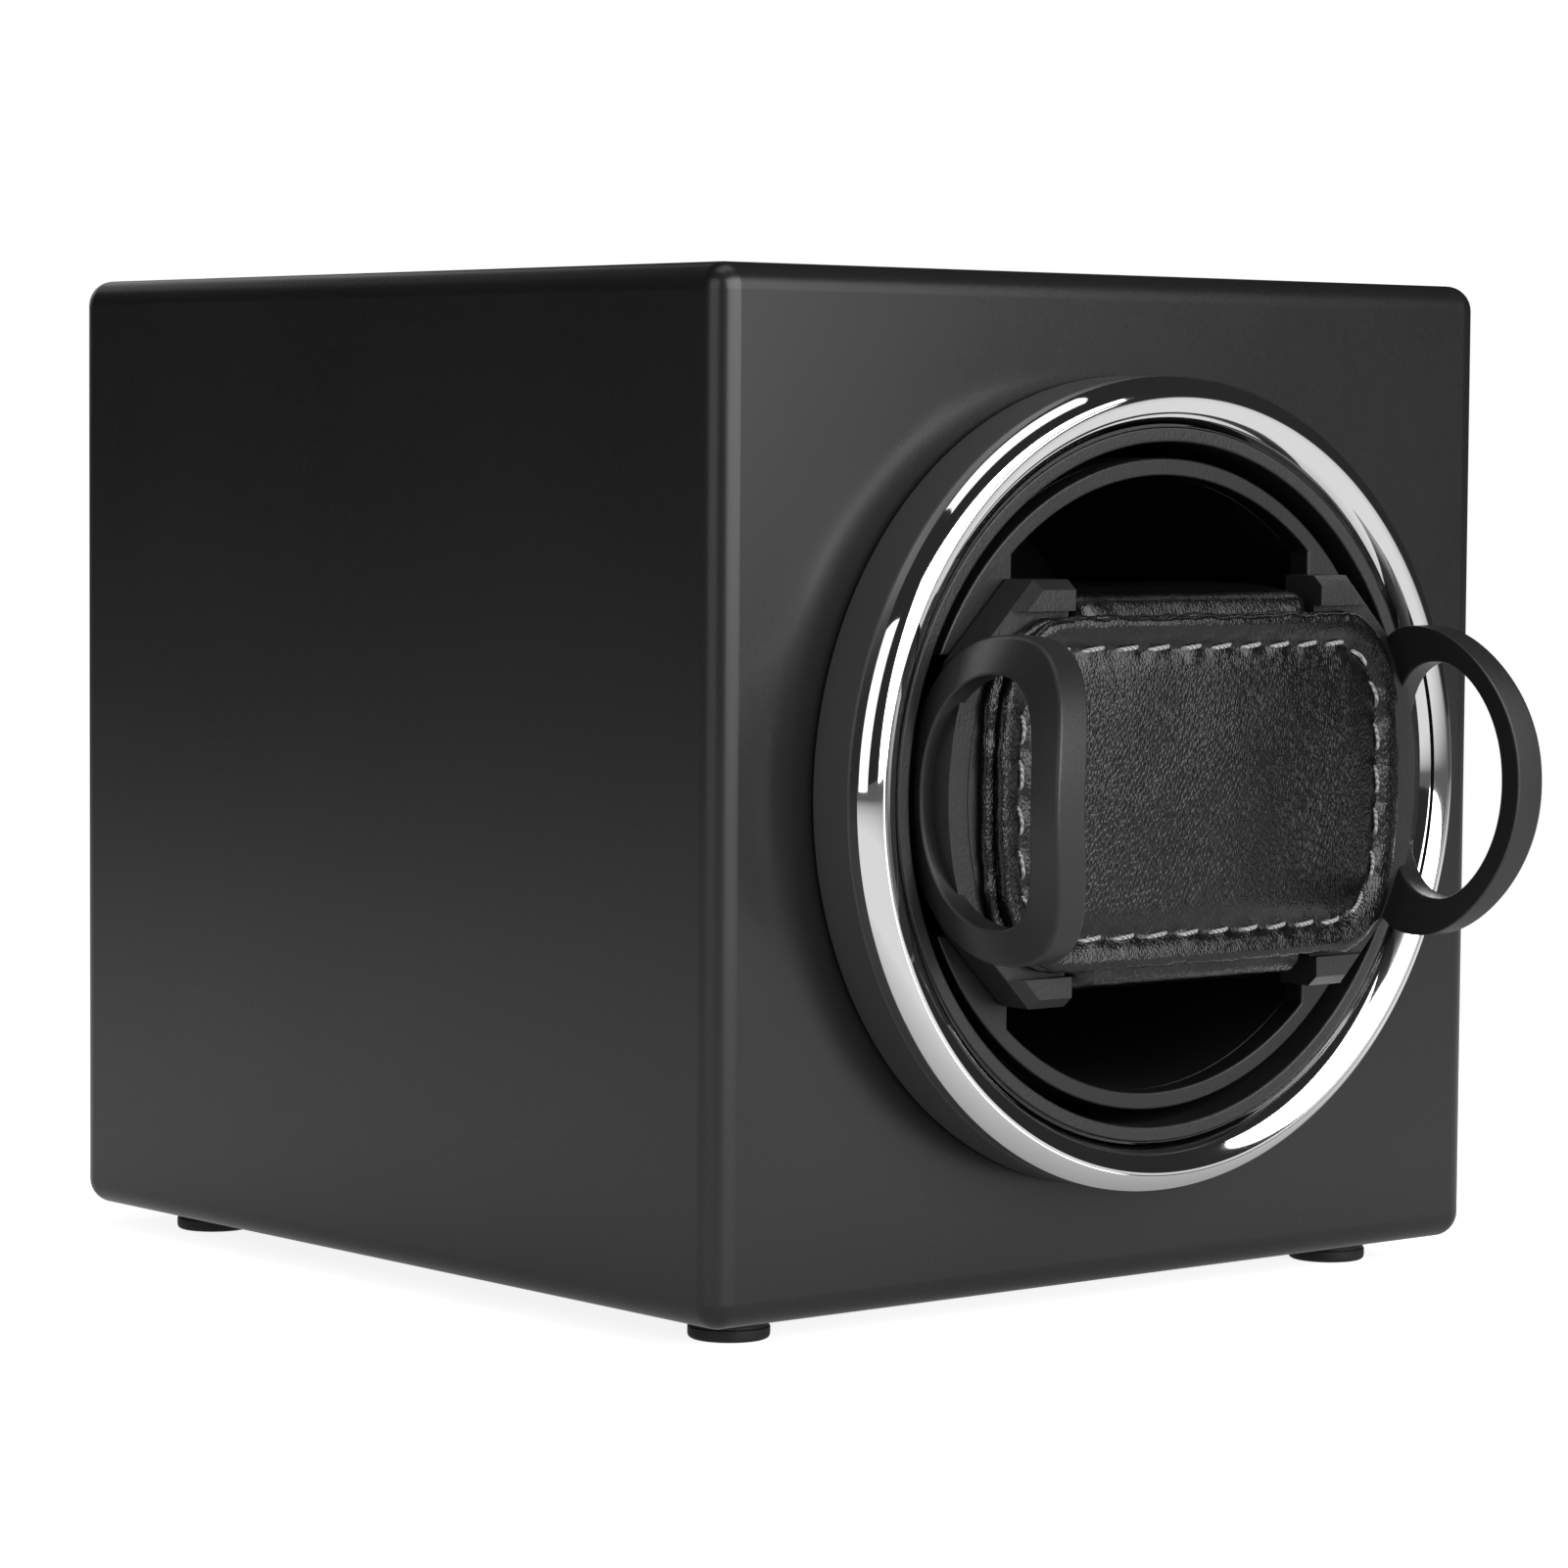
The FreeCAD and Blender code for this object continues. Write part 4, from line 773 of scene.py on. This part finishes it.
def front_pad():
    """Two layers of leather, sewn together: the cover folds in a little short of the backing."""
    around, rings, roll, back_rings = 360, 48, 8, 6
    edge, tuck = 1.0, 0.35
    cover, backing = [], []
    for index in range(around):
        point, normal = outline_point(index / around, pad_half_width, pad_half_height, pad_corner)
        point = bulged(point)
        backing.append((point, normal))
        step_in = 0.35 + 1.15 * normal.x ** 2
        cover.append((point - normal * step_in, normal))
    vertices = [(0, ahead(pad_height(0, 0)), axis_z)]
    for ring in range(1, rings + 1):
        share = 1 - (1 - ring / rings) ** 1.3
        for point, normal in cover:
            inner = (point - normal * edge) * share
            vertices.append((inner.x * MM, ahead(pad_height(inner.x, inner.y)),
                             axis_z + inner.y * MM))
    for step in range(1, 2 * roll + 1):
        for index in range(around):
            (cx, cz), normal = cover[index]
            point = backing[index][0]
            start = Vector((cx, cz)) - normal * edge
            front = pad_height(start.x, start.y)
            back = pad_back_height(point.x)
            ripple = noise.noise(Vector((point.x * 0.30, point.y * 0.30, 11.0)))
            pucker = noise.noise(Vector((point.x * 0.75, point.y * 0.75, 5.0)))
            middle = back + (front - back) * (0.45 + 0.10 * ripple)
            if step <= roll:
                turn = math.pi * step / roll
                reach = edge + 0.30 * ripple + 0.16 * pucker
                height = (front + middle) / 2 + (front - middle) / 2 * math.cos(turn)
                spot = start + normal * reach * math.sin(turn) ** 0.8
                if step == roll:
                    spot = Vector((cx, cz)) - normal * tuck
            else:
                turn = math.pi * (step - roll) / roll
                height = (middle + back) / 2 + (middle - back) / 2 * math.cos(turn)
                inner = Vector((cx, cz)) - normal * tuck
                reach = (point - inner).length - 0.15 + 0.35 * ripple - 0.16 * pucker
                spot = inner + normal * reach * min(1, math.sin(turn) ** 0.6)
            x = max(-pad_half_width, min(pad_half_width, spot.x))
            z = max(-pad_half_height, min(pad_half_height, spot.y))
            vertices.append((x * MM, ahead(height), axis_z + z * MM))
    for ring in range(1, back_rings + 1):
        for point, normal in backing:
            inner = (point - normal * 0.9) * (1 - ring / (back_rings + 1))
            vertices.append((inner.x * MM, ahead(pad_back_height(inner.x)), axis_z + inner.y * MM))
    vertices.append((0, ahead(pad_back), axis_z))
    loops = rings + 2 * roll + back_rings
    faces = []
    for index in range(around):
        beside = (index + 1) % around
        faces.append((0, 1 + index, 1 + beside))
        for loop in range(loops - 1):
            a, b = 1 + loop * around, 1 + (loop + 1) * around
            faces.append((a + index, b + index, b + beside, a + beside))
        last = 1 + (loops - 1) * around
        faces.append((last + index, len(vertices) - 1, last + beside))
    mesh = bpy.data.meshes.new("front_pad_leather")
    mesh.from_pydata(vertices, [], faces)
    mesh.validate()
    soft_halves("front_pad_leather", mesh, "front_pad")


front_pad()


def stitches():
    """Thread on the front of the pad: short slanted stitches that dive into the leather."""
    thread = {"left": ([], []), "right": ([], [])}
    sides, steps, length, radius = 10, 14, 3.5, 0.26
    slant, rise, dive, taper, flatness = 0.20, 0.22, 0.30, 0.55, 0.8
    for index in range(stitch_count):
        middle = (index + 0.5) / stitch_count
        spot = outline_point(middle, stitch_half_width, stitch_half_height, stitch_corner)[0]
        vertices, faces = thread["left" if spot.x < 0 else "right"]
        first = len(vertices)
        for step in range(steps + 1):
            t = step / steps * 2 - 1
            point, normal = outline_point(middle + t * length / 2 / seam_length(),
                                          stitch_half_width, stitch_half_height, stitch_corner)
            point = bulged(point + normal * (slant * t))
            height = pad_height(point.x, point.y) + rise * (1 - t ** 4) - dive * t ** 8
            thick = radius * (1 - taper * t ** 4)
            for side in range(sides):
                angle = 2 * math.pi * side / sides
                across = normal * (thick * math.cos(angle))
                vertices.append(((point.x + across.x) * MM,
                                 ahead(height + thick * flatness * math.sin(angle)),
                                 axis_z + (point.y + across.y) * MM))
        for step in range(steps):
            for side in range(sides):
                beside = (side + 1) % sides
                a, b = first + step * sides, first + (step + 1) * sides
                faces.append((a + side, a + beside, b + beside, b + side))
        faces.append(tuple(first + side for side in range(sides)))
        faces.append(tuple(first + steps * sides + side for side in reversed(range(sides))))
    for side, (vertices, faces) in thread.items():
        mesh = bpy.data.meshes.new("pad_stitches_" + side)
        mesh.from_pydata(vertices, [], faces)
        made = dress("pad_stitches_" + side, mesh, "black_leather", "holder", look="thread")
        outward(made.data)
        squeezed(made)


stitches()

# ---------------------------------------------------------------- rear pillow
pillow_taller = 1.3
pillow_low, pillow_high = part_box("rear_pillow")
pillow_low.z -= pillow_taller * MM
pillow_high.z += pillow_taller * MM


def largest(vector):
    """The vector's largest component, by size."""
    return max(abs(vector.x), abs(vector.y), abs(vector.z))


def rounded_block(low, high, corner, cells):
    """Closed block with rounded edges, as an even grid of points on its faces."""
    shape = bmesh.new()
    bmesh.ops.create_cube(shape, size=1.0)
    bmesh.ops.subdivide_edges(shape, edges=shape.edges, cuts=cells, use_grid_fill=True)
    size = high - low
    middle = (low + high) / 2
    for vertex in shape.verts:
        at = Vector((vertex.co.x * size.x, vertex.co.y * size.y, vertex.co.z * size.z))
        core = Vector([max(-size[i] / 2 + corner[i], min(size[i] / 2 - corner[i], at[i]))
                       for i in range(3)])
        away = at - core
        scaled = Vector([away[i] / corner[i] for i in range(3)])
        if scaled.length > 1e-9:
            scaled = scaled / largest(scaled) * min(1, largest(scaled))
            on_ball = scaled.normalized() * largest(scaled)
            away = Vector([on_ball[i] * corner[i] for i in range(3)])
        vertex.co = middle + core + away
    mesh = bpy.data.meshes.new("block")
    shape.to_mesh(mesh)
    shape.free()
    return mesh


def inflate(mesh, voxel, pressure, cap):
    """Puffs a closed skin with cloth pressure, no point further than cap, and subdivides it.

    The cloth is simulated at 20 times its size, where Blender's pressure and stiffness work."""
    scale, last_frame = 20.0, 20
    start = bpy.data.objects.new("puff", mesh)
    bpy.context.scene.collection.objects.link(start)
    mesh.transform(Matrix.Scale(scale, 4))
    remesh = start.modifiers.new("voxels", "REMESH")
    remesh.mode = "VOXEL"
    remesh.voxel_size = voxel * scale
    graph = bpy.context.evaluated_depsgraph_get()
    even = bpy.data.meshes.new_from_object(start.evaluated_get(graph))
    start.modifiers.remove(remesh)
    start.data = even
    rest = [vertex.co.copy() for vertex in even.vertices]
    cloth = start.modifiers.new("skin", "CLOTH")
    cloth.settings.use_pressure = True
    cloth.settings.uniform_pressure_force = pressure
    cloth.settings.effector_weights.gravity = 0
    cloth.settings.quality = 5
    cloth.settings.tension_stiffness = 25
    cloth.settings.compression_stiffness = 25
    cloth.settings.shear_stiffness = 8
    cloth.settings.bending_stiffness = 1.0
    cloth.point_cache.frame_start = 1
    cloth.point_cache.frame_end = last_frame
    scene = bpy.context.scene
    for number in range(1, last_frame + 1):
        scene.frame_set(number)
    graph = bpy.context.evaluated_depsgraph_get()
    puffed = bpy.data.meshes.new_from_object(start.evaluated_get(graph))
    for vertex, before in zip(puffed.vertices, rest):
        move = vertex.co - before
        if move.length > cap * scale:
            vertex.co = before + move.normalized() * cap * scale
    scene.frame_set(1)
    bpy.data.objects.remove(start)
    holder = bpy.data.objects.new("puffed", puffed)
    bpy.context.scene.collection.objects.link(holder)
    smooth = holder.modifiers.new("finer", "SUBSURF")
    smooth.levels = smooth.render_levels = 1
    graph = bpy.context.evaluated_depsgraph_get()
    fine = bpy.data.meshes.new_from_object(holder.evaluated_get(graph))
    bpy.data.objects.remove(holder)
    fine.transform(Matrix.Scale(1 / scale, 4))
    return fine


def rear_pillow():
    """Puffed pillow with small creases beside its ends, kept in the room that it has."""
    inset = Vector((0.5, 0.5, 0.5)) * MM
    corner, cells = Vector((0.9, 2.0, 2.0)) * MM, 30
    crease_depth, crease_start = 0.35, 0.55
    mesh = rounded_block(pillow_low + inset, pillow_high - inset, corner, cells)
    mesh = inflate(mesh, 0.9 * MM, 3.0, 0.35 * MM)
    reach = (pillow_high - pillow_low) / 2
    middle = (pillow_low + pillow_high) / 2
    for vertex in mesh.vertices:
        at = vertex.co - middle
        side = abs(at.x) / reach.x
        crease = noise.noise(Vector((at.x * 260, at.y * 90, at.z * 90))) * crease_depth * MM
        vertex.co.z -= math.copysign(crease * max(0, side - crease_start), at.z)
        vertex.co.x = max(pillow_low.x, min(pillow_high.x, vertex.co.x))
        vertex.co.y = max(pillow_low.y + 0.05 * MM, min(pillow_high.y + 0.4 * MM, vertex.co.y))
    soft_halves("rear_pillow_leather", mesh, "rear_pillow")


rear_pillow()

# ---------------------------------------------------------------- stage, light and camera
def stage_plane(name, size, material):
    """Square on the ground that belongs to the stage, not to the object."""
    mesh = bpy.data.meshes.new(name)
    half = size / 2
    mesh.from_pydata([(-half, -half, 0), (half, -half, 0), (half, half, 0), (-half, half, 0)],
                     [], [(0, 1, 2, 3)])
    mesh.materials.append(material)
    made = bpy.data.objects.new(name, mesh)
    bpy.context.scene.collection.objects.link(made)


def floor_material():
    """White floor that keeps the shadow near the object and turns plain white further off.

    Reflections see a glowing floor instead, darker overall so that the black faces stay black, with
    a painted shadow under the object and dimmer further off."""
    material, tree, shader = make_material("floor_white")
    output = tree.nodes["Material Output"]
    tree.nodes.remove(shader)
    diffuse = add_node(tree, "ShaderNodeBsdfDiffuse", {"Color": (0.8, 0.8, 0.8, 1)})
    path = add_node(tree, "ShaderNodeLightPath")
    near = add_node(tree, "ShaderNodeVectorMath", operation="LENGTH")
    tree.links.new(add_node(tree, "ShaderNodeTexCoord").outputs["Object"], near.inputs[0])
    far = remap(tree, near.outputs["Value"], 0, 1, 0.16, 0.5)
    base = add_node(tree, "ShaderNodeEmission", {"Color": (1, 1, 1, 1), "Strength": 0.86})
    lit = add_node(tree, "ShaderNodeAddShader")
    tree.links.new(diffuse.outputs[0], lit.inputs[0])
    tree.links.new(base.outputs[0], lit.inputs[1])
    plain = add_node(tree, "ShaderNodeEmission", {"Color": (1, 1, 1, 1), "Strength": 1.0})
    seen = add_node(tree, "ShaderNodeMixShader")
    tree.links.new(far, seen.inputs[0])
    tree.links.new(lit.outputs[0], seen.inputs[1])
    tree.links.new(plain.outputs[0], seen.inputs[2])
    # reflections see the floor as a glow standing in for lit floor: painted reflection, with a
    # painted shadow where it is dimmed under the object and fading further off
    mirrored = add_node(tree, "ShaderNodeEmission", {"Color": (1, 1, 1, 1)})
    under = remap(tree, near.outputs["Value"], 0.35, 0.82, 0.05, 0.14)
    beyond = remap(tree, near.outputs["Value"], 1.0, 0.15, 0.35, 1.0)
    both = add_node(tree, "ShaderNodeMath", operation="MULTIPLY")
    tree.links.new(under, both.inputs[0])
    tree.links.new(beyond, both.inputs[1])
    tree.links.new(both.outputs[0], mirrored.inputs["Strength"])
    other = add_node(tree, "ShaderNodeMixShader")
    tree.links.new(path.outputs["Is Glossy Ray"], other.inputs[0])
    tree.links.new(diffuse.outputs[0], other.inputs[1])
    tree.links.new(mirrored.outputs[0], other.inputs[2])
    final = add_node(tree, "ShaderNodeMixShader")
    tree.links.new(path.outputs["Is Camera Ray"], final.inputs[0])
    tree.links.new(other.outputs[0], final.inputs[1])
    tree.links.new(seen.outputs[0], final.inputs[2])
    tree.links.new(final.outputs[0], output.inputs["Surface"])
    return material


stage_plane("floor", 12.0, floor_material())

def studio_world():
    """Dim grey light from all round, which the camera sees as white."""
    world = bpy.data.worlds.new("studio")
    bpy.context.scene.world = world
    world.use_nodes = True
    tree = world.node_tree
    background = tree.nodes["Background"]
    background.inputs["Color"].default_value = (0.5, 0.5, 0.51, 1)
    background.inputs["Strength"].default_value = 0.05
    white = add_node(tree, "ShaderNodeBackground", {"Color": (1, 1, 1, 1), "Strength": 1.0})
    path = add_node(tree, "ShaderNodeLightPath")
    seen = add_node(tree, "ShaderNodeMath", operation="MAXIMUM")
    tree.links.new(path.outputs["Is Camera Ray"], seen.inputs[0])
    tree.links.new(path.outputs["Is Transmission Ray"], seen.inputs[1])
    mix = add_node(tree, "ShaderNodeMixShader")
    tree.links.new(seen.outputs[0], mix.inputs[0])
    tree.links.new(background.outputs[0], mix.inputs[1])
    tree.links.new(white.outputs[0], mix.inputs[2])
    tree.links.new(mix.outputs[0], tree.nodes["World Output"].inputs["Surface"])


studio_world()


def softbox(name, azimuth, elevation, distance, size, brightness):
    """Rectangular softbox round the object: azimuth in degrees from straight ahead towards +X.

    An area lamp's energy is spread over its face, so brightness is how bright the face looks."""
    a, e = math.radians(azimuth), math.radians(elevation)
    aim = Vector((0, 0, 0.06))
    place = aim + distance * Vector((math.sin(a) * math.cos(e), -math.cos(a) * math.cos(e),
                                     math.sin(e)))
    data = bpy.data.lights.new(name, "AREA")
    data.shape = "RECTANGLE"
    data.size, data.size_y = size
    data.energy = brightness * math.pi * size[0] * size[1]
    lamp = bpy.data.objects.new(name, data)
    lamp.location = place
    lamp.rotation_euler = (aim - place).to_track_quat("-Z", "Y").to_euler()
    bpy.context.scene.collection.objects.link(lamp)


softbox("front_screen", 6.2, 21, 1.35, (1.54, 1.10), 4.8)
softbox("left_panel", -78, 18, 1.25, (0.85, 0.90), 1.35)
softbox("overhead", 0, 88, 1.20, (0.95, 0.65), 1.2)
softbox("rear", 172, 18, 1.5, (0.9, 0.8), 0.8)

# the camera looks along +Y at yaw 0: its place in metres, and yaw, pitch and roll in radians
camera_place = Vector((-0.41309, front_y - 0.43562, 0.09904))
yaw, pitch, roll = 0.69534, -0.06517, 0.00729
camera_data = bpy.data.cameras.new("camera")
camera_data.sensor_width = 36.0
camera_data.lens = 121.16
camera_data.clip_end = 50
camera = bpy.data.objects.new("camera", camera_data)
bpy.context.scene.collection.objects.link(camera)
forward = Vector((math.sin(yaw) * math.cos(pitch), math.cos(yaw) * math.cos(pitch),
                  math.sin(pitch)))
level = forward.cross(Vector((0, 0, 1))).normalized()
over = level.cross(forward)
right = level * math.cos(roll) + over * math.sin(roll)
above = right.cross(forward)
turn = Matrix((right, above, -forward)).transposed().to_4x4()
camera.matrix_world = Matrix.Translation(camera_place) @ turn
bpy.context.scene.camera = camera

bpy.context.scene.view_settings.view_transform = "Standard"
